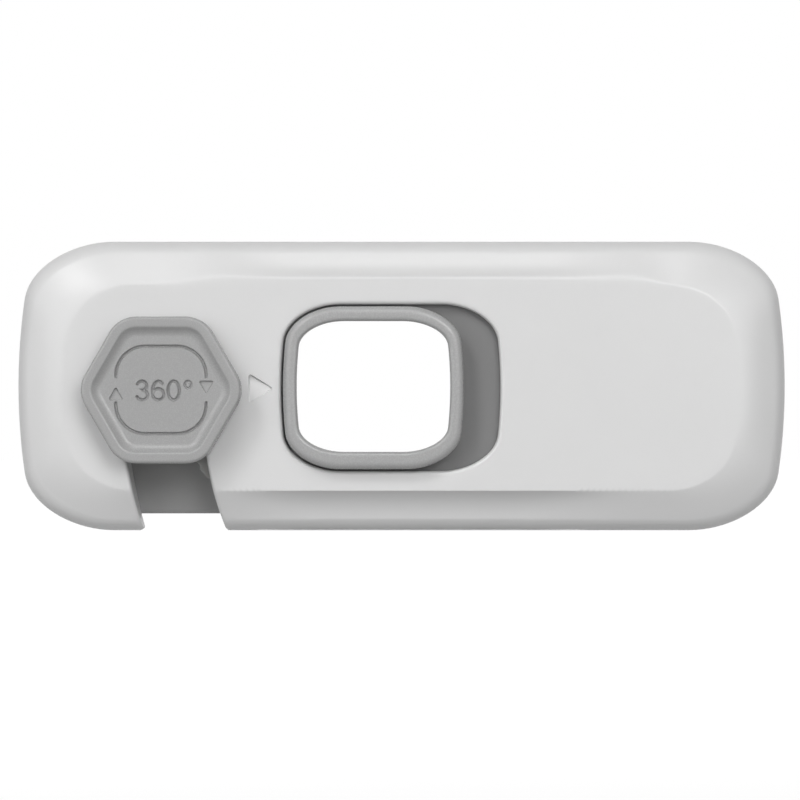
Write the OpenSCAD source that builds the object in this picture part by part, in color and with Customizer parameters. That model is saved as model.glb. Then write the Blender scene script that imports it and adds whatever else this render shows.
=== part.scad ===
// Cabinet safety lock: an arm that swings on a hinge base and hooks over the neck of a catch base.
// The model is drawn lying on its back: x to the right, y up the door and z out from it, in mm.
// The origin is on the pivot's axis, at the face that sticks to the door. stood() turns it upright.

/* [Arm] */
// Height of the housing across its long sides
arm_h = 45.2; // [44:0.2:50]
// Thickness of the housing, from its rear face to its plateau
arm_t = 10.6; // [10.4:0.2:13]
// Length of the outline's corners, along the arm
arm_corner_l = 12.3; // [10:0.1:14]
// Height of the outline's corners, across the arm
arm_corner_h = 9; // [7:0.1:11]
// How far the housing's ends bulge
end_bulge = 2.7; // [1:0.1:4]
// From the housing's right end to the pivot
pivot_from_end = 26; // [24:0.5:28]
// From the housing's left end to the catch
catch_from_end = 23; // [21:0.5:25]
// How far the housing's middle line lies above the pivot
arm_rise = 0.5; // [0:0.1:1]

/* [Housing shell] */
// Wall of both covers
wall = 1.6; // [1.2:0.1:1.8]
// Radius of the outer edge, between the side wall and the bevel
edge_r = 3.8; // [3:0.1:4.2]
// Width of the bevel along the long sides
bevel_w = 4.2; // [3:0.1:5]
// Width of the bevel at the ends
end_bevel_w = 7.9; // [6:0.1:9]
// Slope of the bevel, in degrees
bevel_angle = 30; // [24:1:32]
// Corner radius of the plateau
plateau_corner = 9; // [7:0.1:10]
// How far the plateau's ends bulge
plateau_bulge = 1.5; // [0.5:0.1:2.5]
// Height of the rear cover's outer wall
rear_h = 2.3; // [2:0.1:2.6]
// Thickness of the rear cover's floor
floor_t = 1.8; // [1.4:0.1:1.9]
// Radius of the rear cover's outer edge
rear_edge = 1; // [0.5:0.1:1.4]
// Thickness of the lip that locates the front cover
lip_t = 1; // [0.6:0.1:1.4]
// Thickness of the ribs and rails inside the covers
rib_t = 1.2; // [0.8:0.1:1.4]

/* [Ring slider] */
// Length of the finger ring
ring_l = 28.2; // [26:0.2:30]
// Height of the finger ring
ring_h = 25; // [23:0.2:26]
// Wall of the finger ring
ring_wall = 2.3; // [1.8:0.1:2.8]
// Length of the ring's outer corners
ring_corner_l = 9.5; // [8:0.1:11]
// Height of the ring's outer corners
ring_corner_h = 8.5; // [7:0.1:10]
// How far the ring's ends bulge
ring_bulge = 0.4; // [0.1:0.1:0.8]
// Length of the window's corners
window_corner_l = 7.5; // [6:0.1:9]
// Height of the window's corners
window_corner_h = 7; // [5.5:0.1:8]
// How far the ring stands out of the plateau
ring_proud = 1.5; // [1:0.1:2.5]
// Radius of the ring's rim
rim_r = 0.9; // [0.5:0.1:1]
// From the notch's wall to the slider's flange at rest
flange_to_notch = 4.4; // [3.6:0.1:6]
// From the slider's flange at rest to the pivot
pivot_to_flange = 17.9; // [16:0.1:20]
// How far the ring's middle lies above the pivot
ring_rise = 0.4; // [0:0.1:0.8]
// Travel of the slider
travel = 5.2; // [4.4:0.1:5.6]
// Thickness of the flange under the front cover
flange_t = 1.6; // [1.2:0.1:2]
// How far the flange reaches past the ring's sides
flange_side = 1.2; // [1:0.1:1.4]
// How far the flange reaches past the ends of the slot
flange_cover = 1.1; // [0.8:0.1:1.4]
// Thickness of the lugs that the springs push on
lug_t = 1.5; // [1:0.1:1.8]

/* [Latch tongue] */
// Thickness of the tongue
tongue_t = 3; // [2.4:0.1:3.2]
// Height of the tongue's nose
nose_h = 7.4; // [7:0.1:8]
// Height of the tongue's shank
shank_h = 5.2; // [4.6:0.1:5.6]
// Length of the nose behind the notch's wall
nose_back = 2.4; // [2:0.1:3]
// Gap between the neck and the tongue below it
tongue_drop = 0.6; // [0.3:0.1:1]
// Width of the slit that lets the nose give way
slit_w = 0.8; // [0.5:0.1:1]
// Radius of the rivet's shank
rivet_r = 1; // [0.8:0.1:1.2]
// Thickness of the rivet's heads
rivet_head_t = 0.6; // [0.4:0.1:0.8]

/* [Springs] */
// Outer diameter of the return springs
spring_od = 4.2; // [3.6:0.1:4.6]
// Wire of the return springs
spring_wire = 0.5; // [0.4:0.05:0.6]
// Length of the return springs as fitted
spring_l = 12.3; // [11.5:0.1:12.8]
// From the ring's middle line to each spring's axis
spring_spread = 10.5; // [10.2:0.1:10.6]
// Length of the pegs inside the springs
peg_l = 2; // [1.5:0.1:2.4]
// Curls of each spring
curls = 10; // [8:1:11]

/* [Knob] */
// Width of the knob across its flats
knob_af = 22.6; // [21:0.2:24]
// Radius of the knob's corners
knob_corner = 4.8; // [4.4:0.1:6]
// Height of the knob's head
knob_h = 4.7; // [4:0.1:6]
// Radius of the knob's outer edge
knob_edge = 1; // [0.6:0.1:1.2]
// Flat width of the knob's rim
knob_rim = 0.9; // [0.5:0.1:1.2]
// Width of the slope inside the rim
dish_slope = 1.4; // [1:0.1:1.8]
// Depth of the dish
dish_depth = 1.2; // [0.8:0.1:1.6]
// Radius of the knob's stem
stem_r = 3.4; // [3:0.1:3.6]
// Gap between the plateau and the knob
knob_lift = 0.5; // [0.4:0.1:1]

/* [Bases] */
// Width and height of the catch base
catch_size = 39.3; // [36:0.1:42]
// Width of the hinge base
hinge_w = 34; // [32:0.5:35]
// Height of the hinge base
hinge_h = 39; // [36:0.5:42]
// Corner radius of the bases
base_corner = 11; // [10:0.5:15]
// Thickness of the bases' plates
base_t = 2.5; // [2.2:0.1:3.5]
// Radius of the plates' front edges
base_edge = 0.8; // [0.4:0.1:1.2]
// Thickness of the adhesive pads
pad_t = 1; // [0.8:0.1:1.6]
// How far the pads stay inside the plates' edges
pad_inset = 0.5; // [0.3:0.1:1]
// Radius of the catch's neck
neck_r = 5.9; // [5.8:0.1:6.4]
// Radius of the hinge's post
post_r = 4; // [3.6:0.1:4.3]

/* [Fasteners] */
// Wall of the hinge bush
bush_wall = 1.2; // [0.8:0.1:1.4]
// Radius of the hinge bush's flange
bush_flange_r = 7; // [6.6:0.1:7.4]
// Thickness of the hinge bush's flange
bush_flange_t = 0.8; // [0.6:0.1:1]
// Wall of the boss round the hinge bush
boss_wall = 2; // [1.4:0.1:2.4]
// Fitted height of the wave washers
wave_h = 1.1; // [0.9:0.1:1.2]
// Thickness of the wave washers' strip
wave_t = 0.35; // [0.25:0.05:0.5]
// Thickness of the flat washers
washer_t = 0.7; // [0.5:0.1:0.8]
// Radius of the pivot's flat washer
pivot_washer_r = 7; // [6.4:0.1:7.2]
// Radius of the pivot screw's head
pivot_head_r = 3.2; // [2.8:0.1:3.6]
// Height of the pivot screw's head
pivot_head_h = 1.8; // [1.4:0.1:2]
// Radius of the pivot and knob screws' shanks
main_shank_r = 1.5; // [1.2:0.05:1.6]
// Radius of the knob screw's head
knob_head_r = 2.8; // [2.4:0.1:3.2]
// Height of the knob screw's head
knob_head_h = 1.3; // [1:0.1:1.6]
// Radius of the cover screws' heads
cover_head_r = 2.2; // [1.9:0.1:2.3]
// Height of the cover screws' heads
cover_head_h = 1.2; // [0.9:0.1:1.3]
// Radius of the cover screws' shanks
cover_shank_r = 1.1; // [0.9:0.05:1.2]
// Length of the cover screws' shanks
cover_shank_l = 6; // [4.5:0.5:6]
// Radius of the front cover's screw bosses
cover_boss_r = 2.9; // [2.6:0.1:3]
// From the housing's left end to its screws
screw_from_left = 10; // [9.5:0.1:11]
// From the housing's right end to its screws
screw_from_right = 6.4; // [6.3:0.1:7]
// From the arm's middle line to the left screws
screw_spread_left = 10.5; // [9:0.5:12]
// From the arm's middle line to the right screws
screw_spread_right = 7; // [6:0.5:8]

/* [Clearances] */
// Gap between the bases' plates and the housing
arm_gap = 0.4; // [0.3:0.05:0.6]
// Gap between the neck and the notch's walls
notch_gap = 0.4; // [0.3:0.05:0.5]
// Gap round the ring and its flange
slide_gap = 0.3; // [0.2:0.05:0.35]
// Radial gap of the turning fits
turn_gap = 0.05; // [0.02:0.01:0.08]
// Play between pieces that are fastened together
seat_gap = 0.02; // [0.01:0.01:0.04]

/* [Hidden] */
$fn = 64;
// Overrun of every cut
over = 1;

// Counts of the curved outlines and edges
corner_steps = 9;
end_steps = 6;
edge_steps = 4;
crown_steps = 5;

// Depths from the door outward
plate_d = pad_t + base_t;
rear_d = plate_d + arm_gap;
floor_d = rear_d + floor_t;
rib_foot_d = floor_d - floor_t / 2;
seam_d = rear_d + rear_h;
front_d = rear_d + arm_t;
ceiling_d = front_d - wall;
edge_angle = 90 - bevel_angle;
edge_in = edge_r * (1 - cos(edge_angle));
// The bevel is limited by the wall that the slider's flange leaves beside it
bevel = min(bevel_w, arm_h / 2 - edge_in - ring_h / 2 - flange_side - slide_gap - wall);
end_bevel = bevel + end_bevel_w - bevel_w;
shoulder_d = front_d - bevel * tan(bevel_angle) - edge_r * sin(edge_angle);
lip_d = shoulder_d - wall - seat_gap;
flange_d = ceiling_d - slide_gap - flange_t;
rim_d = front_d + ring_proud;
knob_d = front_d + knob_lift;

// Lengths and places on the arm: its length follows from what it has to hold
flange_half_l = ring_l / 2 + travel + flange_cover;
flange_half_h = ring_h / 2 + flange_side;
notch_r = neck_r + notch_gap;
reach = notch_r + wall + flange_to_notch + 2 * flange_half_l + pivot_to_flange;
arm_l = catch_from_end + reach + pivot_from_end;
arm_x = pivot_from_end - arm_l / 2;
ring_x = -pivot_to_flange - flange_half_l;
slot_x = ring_x + travel / 2;
left_screw_x = arm_x - arm_l / 2 + screw_from_left;
right_screw_x = arm_x + arm_l / 2 - screw_from_right;
cover_screw_places = [
    [left_screw_x, arm_rise + screw_spread_left], [left_screw_x, arm_rise - screw_spread_left],
    [right_screw_x, arm_rise + screw_spread_right], [right_screw_x, arm_rise - screw_spread_right]
];

// Slider
flange_corner = flange_side + flange_cover;
flange_right = ring_x + flange_half_l;
window_half_l = ring_l / 2 - ring_wall;
window_half_h = ring_h / 2 - ring_wall;

// Latch tongue: its nose reaches across the notch as far as the slider can draw it out
tongue_d = flange_d - seat_gap - tongue_t;
tongue_y = -(neck_r + tongue_drop);
wall_x = notch_r - sqrt(reach * reach - tongue_y * tongue_y);
nose_reach = travel - notch_gap / 2;
nose_x = wall_x - nose_reach;
nose_end_x = wall_x + nose_back;
tongue_end_x = ring_x - ring_l / 2 - slide_gap;
rivet_head_r = 2 * rivet_r;
rivet_x = ring_x - ring_l / 2 - slide_gap - rivet_head_r - rivet_head_t;
rivet_y = tongue_y - shank_h / 2;
// Places of the nose's bend, from its tip to the notch's wall and from its top to its foot
tip_flat_share = 0.1;
bend_reach_share = 0.78;
bend_drop_share = 0.73;
foot_drop_share = 0.81;
slit_share = 0.75;

// Springs
spring_d = (floor_d + flange_d) / 2;
coil_r = (spring_od - spring_wire) / 2;
peg_r = coil_r - spring_wire / 2 - slide_gap;
stop_x = flange_right + spring_l;
spring_turn = (spring_l - 2 * seat_gap - spring_wire) / curls;
curl_rings = 8;
wire_sides = 6;

// Pivot, from the housing's ceiling down
head_room = 0.6;
post_d = ceiling_d - head_room - pivot_head_h - washer_t - seat_gap;
boss_d = post_d - wave_h;
bush_r = post_r + turn_gap + bush_wall;
boss_r = bush_r + seat_gap + boss_wall;
bush_d = plate_d + turn_gap;
bush_seat_d = bush_d + bush_flange_t;
pilot_end_t = 1;

// Knob and catch, from the door outward
catch_room = 0.4;
neck_wall = 1;
recess_r = neck_r - neck_wall;
knob_head_d = pad_t + catch_room;
knob_washer_d = knob_head_d + knob_head_h;
stem_end_d = knob_washer_d + washer_t + seat_gap;
recess_d = stem_end_d + wave_h;
neck_d = knob_d - turn_gap;
knob_washer_r = recess_r - slide_gap;

// Cover screws, from the rear
cover_head_d = rear_d + seat_gap + (floor_t - cover_head_h) / 4;
cover_seat_d = cover_head_d + cover_head_h + seat_gap;
cover_pillar_r = cover_head_r + wall / 2 + seat_gap;
cover_pillar_d = cover_seat_d + wall;
cover_pilot_d = cover_seat_d + cover_shank_l + slide_gap;
drive_share = 0.55;
drive_width_share = 0.16;

shell_grey = [0.85, 0.85, 0.86];
mid_grey = [0.64, 0.64, 0.65];
base_grey = [0.46, 0.46, 0.47];
steel = [0.72, 0.73, 0.75];
acetal = [0.56, 0.56, 0.58];
foam = [0.22, 0.22, 0.23];

function mix(a, b, share) = a + (b - a) * share;
function lift(outline, d) = [for (p = outline) [p[0], p[1], d]];
function moved(outline, x, y) = [for (p = outline) [p[0] + x, p[1] + y]];

// A rectangle with elliptic corners and parabolic ends, anticlockwise from the right end's upper corner
function soft_outline(half_l, half_h, corner_l, corner_h, bulge) =
    [for (quarter = [0:3])
        let (side = (quarter == 0 || quarter == 3) ? 1 : -1)
        let (up = quarter < 2 ? 1 : -1)
        let (foot = half_h - corner_h)
        each concat(
            [for (k = [0:corner_steps])
                let (a = 90 * (quarter + k / corner_steps))
                let (y = up * foot + corner_h * sin(a))
                [side * (half_l - bulge - corner_l) + corner_l * cos(a) + side * bowed(y, half_h, bulge), y]],
            quarter % 2 == 0 || bulge == 0 ? [] :
            [for (k = [1:end_steps - 1])
                let (y = -side * foot * (1 - 2 * k / end_steps))
                [side * (half_l - bulge + bowed(y, half_h, bulge)), y]])];
function bowed(y, half_h, bulge) = bulge * (1 - y * y / (half_h * half_h));

// A regular hexagon with flats above and below, its corners rounded, drawn in by an inset
function hex_outline(across, corner, inset) =
    [for (k = [0:5], step = [-edge_steps / 2:edge_steps / 2])
        let (centre = (across / 2 - corner) / cos(30))
        let (a = 60 * k + 60 * step / edge_steps)
        [centre * cos(60 * k) + (corner - inset) * cos(a), centre * sin(60 * k) + (corner - inset) * sin(a)]];

// Rings of a body that stands on the inset outline, with round edges at its foot and its top
function foot_rings(outline, from, edge) =
    edge == 0 ? [lift(outline(0), from)] :
    [for (k = [edge_steps:-1:0])
        let (a = 90 * k / edge_steps)
        lift(outline(edge * (1 - cos(a))), from + edge * (1 - sin(a)))];
function top_rings(outline, to, edge) =
    edge == 0 ? [lift(outline(0), to)] :
    [for (k = [0:edge_steps])
        let (a = 90 * k / edge_steps)
        lift(outline(edge * (1 - cos(a))), to - edge * (1 - sin(a)))];

// One ring of the housing, t of the way up its bevel, drawn in by the shell's inset
function housing_ring(side_in, end_in, t, d, inset) =
    lift(moved(soft_outline(
            arm_l / 2 - end_in - inset,
            arm_h / 2 - side_in - inset,
            mix(arm_corner_l, plateau_corner, t) - inset,
            mix(arm_corner_h, plateau_corner, t) - inset,
            mix(end_bulge, plateau_bulge, t)), arm_x, arm_rise), d);

module loft(rings) {
    n = len(rings[0]);
    last = len(rings) - 1;
    polyhedron(
        points = [for (ring = rings) each ring],
        faces = [
            [for (j = [0:n - 1]) j],
            [for (j = [n - 1:-1:0]) last * n + j],
            for (i = [0:last - 1], j = [0:n - 1])
                let (k = (j + 1) % n)
                each [
                    [i * n + j, (i + 1) * n + j, (i + 1) * n + k],
                    [i * n + j, (i + 1) * n + k, i * n + k]
                ]
        ]);
}

module stood() {
    rotate([90, 0, 0]) children();
}

module rod(x, y, from, to, r) {
    translate([x, y, from]) cylinder(r = r, h = to - from);
}

module block(from, to) {
    translate(from) cube(to - from);
}

module soft_prism(x, y, half_l, half_h, corner_l, corner_h, bulge, from, to) {
    translate([x, y, from])
        linear_extrude(to - from) polygon(soft_outline(half_l, half_h, corner_l, corner_h, bulge));
}

// The housing's outer form, or with an inset the form of its cavity. Its ends rise to a crown.
module housing_form(inset, from) {
    loft(concat(
        [housing_ring(0, 0, 0, from, inset)],
        [for (k = [0:edge_steps])
            let (a = edge_angle * k / edge_steps)
            let (drawn = edge_r * (1 - cos(a)))
            housing_ring(drawn, drawn, 0, shoulder_d - inset + edge_r * sin(a), inset)],
        [for (k = [1:crown_steps])
            let (t = k / crown_steps)
            let (side_in = edge_in + bevel * t)
            let (end_in = side_in + (end_bevel - bevel) * t * t * t)
            let (d = front_d - inset - bevel * tan(bevel_angle) * (1 - t))
            housing_ring(side_in, end_in, t, d, inset)]));
}

// The slot that the finger ring slides in, the same through both covers
module ring_slot(from, to) {
    soft_prism(slot_x, ring_rise, (ring_l + travel) / 2 + slide_gap, ring_h / 2 + slide_gap,
        ring_corner_l, ring_corner_h, ring_bulge, from, to);
}

// A band of the notch, r to each side of the arc that the neck takes about the pivot
module notch_band(r, from, to) {
    sweep = asin((arm_h / 2 + over) / (reach - r));
    far = 2 * reach;
    rod(-reach, 0, from, to, r);
    intersection() {
        difference() {
            rod(0, 0, from, to, reach + r);
            rod(0, 0, from - over, to + over, reach - r);
        }
        translate([0, 0, from])
            linear_extrude(to - from)
                polygon([[0, 0], [-far, 0], [-far * cos(sweep), -far * sin(sweep)]]);
    }
}

// A screw with a domed head at the bottom and its shank upward, or mirrored the other way
module screw(head_r, head_h, shank_r, shank_l) {
    slot_l = head_r * drive_share;
    slot_w = head_r * drive_width_share;
    difference() {
        union() {
            rotate_extrude()
                polygon(concat(
                    [[0, head_h], [0, 0]],
                    [for (k = [0:edge_steps])
                        let (a = 90 * k / edge_steps)
                        [head_r - head_h / 2 + head_h / 2 * sin(a), head_h / 2 * (1 - cos(a))]],
                    [[head_r, head_h]]));
            rod(0, 0, head_h / 2, head_h + shank_l, shank_r);
        }
        block([-slot_l, -slot_w, -over], [slot_l, slot_w, head_h / 2]);
        block([-slot_w, -slot_l, -over], [slot_w, slot_l, head_h / 2]);
    }
}

module washer(hole_r, outer_r, from, to) {
    difference() {
        rod(0, 0, from, to, outer_r);
        rod(0, 0, from - over, to + over, hole_r);
    }
}

// A strip ring with three waves, seated between two faces
module wave_washer(hole_r, outer_r, from) {
    stations = 36;
    swing = (wave_h - wave_t) / 2 - seat_gap;
    corners = [[hole_r, 0], [outer_r, 0], [outer_r, wave_t], [hole_r, wave_t]];
    polyhedron(
        points = [for (i = [0:stations - 1], c = corners)
            let (a = 360 * i / stations)
            [c[0] * cos(a), c[0] * sin(a), from + seat_gap + swing * (1 + sin(3 * a)) + c[1]]],
        faces = [for (i = [0:stations - 1], j = [0:3])
            let (i2 = (i + 1) % stations)
            let (j2 = (j + 1) % 4)
            each [[4 * i + j, 4 * i2 + j2, 4 * i + j2], [4 * i + j, 4 * i2 + j, 4 * i2 + j2]]]);
}

// A base plate with a round front edge
module base_plate(x, half_w, half_h) {
    outline = function(inset) moved(
        soft_outline(half_w - inset, half_h - inset, base_corner - inset, base_corner - inset, 0), x, 0);
    loft(concat(foot_rings(outline, pad_t, 0), top_rings(outline, plate_d, base_edge)));
}

module base_pad(x, half_w, half_h) {
    corner = base_corner - pad_inset;
    soft_prism(x, 0, half_w - pad_inset, half_h - pad_inset, corner, corner, 0, 0, pad_t);
}

module front_bosses() {
    for (place = cover_screw_places)
        rod(place[0], place[1], cover_pillar_d + seat_gap, front_d, cover_boss_r);
}

// Ribs that guide the sides of the slider's flange
module flange_guides() {
    half = flange_half_h + slide_gap;
    for (y = [ring_rise + half, ring_rise - half - rib_t])
        block([ring_x - flange_half_l, y, flange_d + slide_gap], [flange_right + travel, y + rib_t, front_d]);
}

module tongue_window() {
    block(
        [wall_x - notch_r, tongue_y - nose_h - slide_gap, tongue_d - slide_gap],
        [wall_x + 2 * wall, tongue_y + slide_gap, flange_d]);
}

module front_cover() {
    color(shell_grey) stood() difference() {
        union() {
            difference() {
                housing_form(0, seam_d + seat_gap);
                housing_form(wall, seam_d - over);
            }
            intersection() {
                union() {
                    notch_band(notch_r + wall, seam_d + seat_gap, front_d);
                    front_bosses();
                    flange_guides();
                }
                housing_form(wall / 2, seam_d);
            }
        }
        ring_slot(seam_d, front_d + over);
        notch_band(notch_r, seam_d - over, front_d + over);
        tongue_window();
        for (place = cover_screw_places)
            rod(place[0], place[1], seam_d, cover_pilot_d, cover_shank_r + seat_gap);
    }
}

module slider_rails() {
    half = ring_h / 2 + 2 * slide_gap;
    for (y = [ring_rise + half, ring_rise - half - rib_t])
        block([ring_x - ring_l / 2, y, rib_foot_d], [flange_right + travel, y + rib_t, flange_d - turn_gap]);
}

// Low rails above and below the tongue, behind the notch's wall
module tongue_rails() {
    from_x = wall_x + wall + slide_gap;
    upper = tongue_y + slide_gap;
    lower = tongue_y - nose_h - slide_gap;
    for (y = [upper, lower - rib_t])
        block([from_x, y, rib_foot_d], [from_x + nose_back, y + rib_t, tongue_d + tongue_t / 2]);
}

module spring_stops() {
    half = spring_od / 2 + rib_t / 2;
    for (side = [-1, 1]) {
        y = ring_rise + side * spring_spread;
        block([stop_x, y - half, rib_foot_d], [stop_x + rib_t, y + half, flange_d]);
        translate([stop_x - peg_l, y, spring_d])
            rotate([0, 90, 0]) cylinder(r = peg_r, h = peg_l + rib_t / 2);
    }
}

module rear_cover() {
    outline = function(inset) moved(soft_outline(arm_l / 2 - inset, arm_h / 2 - inset,
        arm_corner_l - inset, arm_corner_h - inset, end_bulge), arm_x, arm_rise);
    color(shell_grey) stood() difference() {
        union() {
            difference() {
                loft(concat(foot_rings(outline, rear_d, rear_edge), top_rings(outline, seam_d, 0)));
                loft([lift(outline(wall), floor_d), lift(outline(wall), seam_d + over)]);
            }
            difference() {
                loft([lift(outline(wall + seat_gap), rib_foot_d), lift(outline(wall + seat_gap), lip_d)]);
                loft([lift(outline(wall + lip_t), rear_d), lift(outline(wall + lip_t), lip_d + over)]);
                notch_band(notch_r + wall + seat_gap, seam_d, lip_d + over);
            }
            intersection() {
                notch_band(notch_r + wall, rib_foot_d, seam_d);
                loft([lift(outline(wall / 2), rear_d), lift(outline(wall / 2), seam_d + over)]);
            }
            rod(0, 0, rib_foot_d, boss_d, boss_r);
            for (place = cover_screw_places)
                rod(place[0], place[1], rib_foot_d, cover_pillar_d, cover_pillar_r);
            slider_rails();
            tongue_rails();
            spring_stops();
        }
        ring_slot(rear_d - over, floor_d + over);
        notch_band(notch_r, rear_d - over, lip_d + over);
        rod(0, 0, rear_d - over, bush_seat_d + seat_gap, bush_flange_r + seat_gap);
        rod(0, 0, rear_d, boss_d + over, bush_r + seat_gap);
        for (place = cover_screw_places) {
            rod(place[0], place[1], rear_d - over, cover_seat_d, cover_head_r + seat_gap);
            rod(place[0], place[1], rear_d, cover_pillar_d + over, cover_shank_r + seat_gap);
        }
    }
}

module cover_screws() {
    color(steel) stood()
        for (place = cover_screw_places)
            translate([place[0], place[1], cover_head_d])
                screw(cover_head_r, cover_head_h, cover_shank_r, cover_shank_l);
}

module slider() {
    ring = function(inset) moved(soft_outline(ring_l / 2 - inset, ring_h / 2 - inset,
        ring_corner_l - inset, ring_corner_h - inset, ring_bulge), ring_x, ring_rise);
    window = function(inset) moved(soft_outline(window_half_l - inset, window_half_h - inset,
        window_corner_l - inset, window_corner_h - inset, ring_bulge), ring_x, ring_rise);
    rim_flat = rim_d + seat_gap;
    color(mid_grey) stood() difference() {
        union() {
            loft(concat(foot_rings(ring, rear_d + slide_gap, 0), top_rings(ring, rim_d, rim_r)));
            soft_prism(ring_x, ring_rise, flange_half_l, flange_half_h,
                flange_corner, flange_corner, 0, flange_d, flange_d + flange_t);
            spring_lugs();
        }
        loft(concat(
            [lift(window(0), rear_d - over)],
            [for (k = [0:edge_steps])
                let (a = 90 * k / edge_steps)
                lift(window(-rim_r * (1 - cos(a))), rim_flat - rim_r * (1 - sin(a)))]));
        rod(rivet_x, rivet_y, flange_d - over, flange_d + flange_t + over, rivet_r + seat_gap);
        rod(rivet_x, rivet_y, flange_d + flange_t - rivet_head_t, flange_d + flange_t + over,
            rivet_head_r + seat_gap);
    }
}

// Lugs under the flange's right end, each with the peg of its spring
module spring_lugs() {
    half = spring_od / 2;
    for (side = [-1, 1]) {
        y = ring_rise + side * spring_spread;
        block(
            [flange_right - lug_t, y - half, spring_d - half],
            [flange_right, y + half, flange_d + flange_t / 2]);
        translate([flange_right - lug_t / 2, y, spring_d])
            rotate([0, 90, 0]) cylinder(r = peg_r, h = peg_l + lug_t / 2);
    }
}

// The tongue's nose slopes, so that closing the arm pushes it aside
module latch_tongue() {
    foot_y = tongue_y - nose_h;
    color(acetal) stood() difference() {
        translate([0, 0, tongue_d]) linear_extrude(tongue_t) polygon([
            [tongue_end_x, tongue_y],
            [nose_x, tongue_y],
            [nose_x, tongue_y - nose_h * tip_flat_share],
            [nose_x + nose_reach * bend_reach_share, tongue_y - nose_h * bend_drop_share],
            [nose_x + nose_reach * bend_reach_share, tongue_y - nose_h * foot_drop_share],
            [wall_x, foot_y],
            [nose_end_x, foot_y],
            [nose_end_x, tongue_y - shank_h],
            [tongue_end_x, tongue_y - shank_h]
        ]);
        block(
            [nose_end_x, tongue_y - nose_h - over, tongue_d - over],
            [nose_end_x + slit_w, tongue_y - shank_h * (1 - slit_share), flange_d + over]);
        rod(rivet_x, rivet_y, tongue_d - over, flange_d + over, rivet_r + seat_gap);
    }
}

module tongue_rivet() {
    top_d = flange_d + flange_t;
    head_d = top_d - rivet_head_t + seat_gap;
    foot_d = tongue_d - seat_gap;
    color(steel) stood() {
        rod(rivet_x, rivet_y, head_d, top_d, rivet_head_r);
        rod(rivet_x, rivet_y, foot_d - rivet_head_t, top_d, rivet_r);
        rod(rivet_x, rivet_y, foot_d - rivet_head_t, foot_d, rivet_head_r);
    }
}

// Points along the wire of a spring that starts at the origin and runs along z
spring_path = [for (i = [0:curls * curl_rings])
    let (a = 360 * i / curl_rings)
    [coil_r * cos(a), coil_r * sin(a), spring_turn * i / curl_rings]];
wire_gap = min([for (i = [0:len(spring_path) - 1], j = [i + curl_rings / 2:1:len(spring_path) - 1])
    norm(spring_path[i] - spring_path[j])]) - spring_wire;
echo(least_gap_of_spring_wire = wire_gap);

module return_spring(side) {
    climb = atan(spring_turn / (2 * PI * coil_r));
    last = len(spring_path) - 1;
    color(steel) stood()
        translate([flange_right + seat_gap + spring_wire / 2, ring_rise + side * spring_spread, spring_d])
            rotate([0, 90, 0])
                polyhedron(
                    points = [for (i = [0:last], j = [0:wire_sides - 1])
                        let (a = 360 * i / curl_rings)
                        let (b = 360 * j / wire_sides)
                        let (out = [cos(a), sin(a), 0])
                        let (up = [sin(a) * sin(climb), -cos(a) * sin(climb), cos(climb)])
                        spring_path[i] + spring_wire / 2 * (cos(b) * out + sin(b) * up)],
                    faces = concat(
                        [[for (j = [0:wire_sides - 1]) j]],
                        [[for (j = [wire_sides - 1:-1:0]) last * wire_sides + j]],
                        [for (i = [0:last - 1], j = [0:wire_sides - 1])
                            let (j2 = (j + 1) % wire_sides)
                            let (p = i * wire_sides)
                            let (q = p + wire_sides)
                            each [[p + j, q + j, q + j2], [p + j, q + j2, p + j2]]]));
}

module return_spring_upper() {
    return_spring(1);
}

module return_spring_lower() {
    return_spring(-1);
}

module hinge_base() {
    color(base_grey) stood() difference() {
        union() {
            base_plate(0, hinge_w / 2, hinge_h / 2);
            rod(0, 0, pad_t + base_t / 2, post_d, post_r);
        }
        rod(0, 0, pad_t + pilot_end_t, post_d + over, main_shank_r + seat_gap);
    }
}

module hinge_pad() {
    color(foam) stood() base_pad(0, hinge_w / 2, hinge_h / 2);
}

module hinge_bush() {
    color(acetal) stood() difference() {
        union() {
            rod(0, 0, bush_d, bush_seat_d, bush_flange_r);
            rod(0, 0, bush_d, boss_d, bush_r);
        }
        rod(0, 0, bush_d - over, boss_d + over, post_r + turn_gap);
    }
}

module pivot_wave_washer() {
    color(steel) stood() wave_washer(post_r + slide_gap, bush_r + boss_wall / 2, boss_d);
}

module pivot_washer() {
    color(steel) stood() washer(main_shank_r + turn_gap, pivot_washer_r, post_d, post_d + washer_t);
}

module pivot_screw() {
    top_d = post_d + washer_t + seat_gap + pivot_head_h;
    shank_l = top_d - pivot_head_h - pad_t - pilot_end_t - slide_gap;
    color(steel) stood()
        translate([0, 0, top_d]) mirror([0, 0, 1]) screw(pivot_head_r, pivot_head_h, main_shank_r, shank_l);
}

module catch_base() {
    color(base_grey) stood() difference() {
        union() {
            base_plate(-reach, catch_size / 2, catch_size / 2);
            rod(-reach, 0, pad_t + base_t / 2, neck_d, neck_r);
        }
        rod(-reach, 0, pad_t, neck_d + over, stem_r + turn_gap);
        rod(-reach, 0, pad_t - over, recess_d, recess_r);
    }
}

module catch_pad() {
    color(foam) stood() base_pad(-reach, catch_size / 2, catch_size / 2);
}

// The knob's head is a rounded hexagon with a dish, on a stem that turns in the neck
module knob() {
    outline = function(inset) moved(hex_outline(knob_af, knob_corner, inset), -reach, 0);
    top_d = knob_d + knob_h;
    dish_in = knob_edge + knob_rim;
    color(mid_grey) stood() difference() {
        union() {
            loft(concat(foot_rings(outline, knob_d, knob_edge / 2), top_rings(outline, top_d, knob_edge),
                [lift(outline(dish_in), top_d), lift(outline(dish_in + dish_slope), top_d - dish_depth)]));
            rod(-reach, 0, stem_end_d, knob_d + knob_h / 2, stem_r);
        }
        rod(-reach, 0, stem_end_d - over, knob_d, main_shank_r + seat_gap);
    }
}

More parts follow.
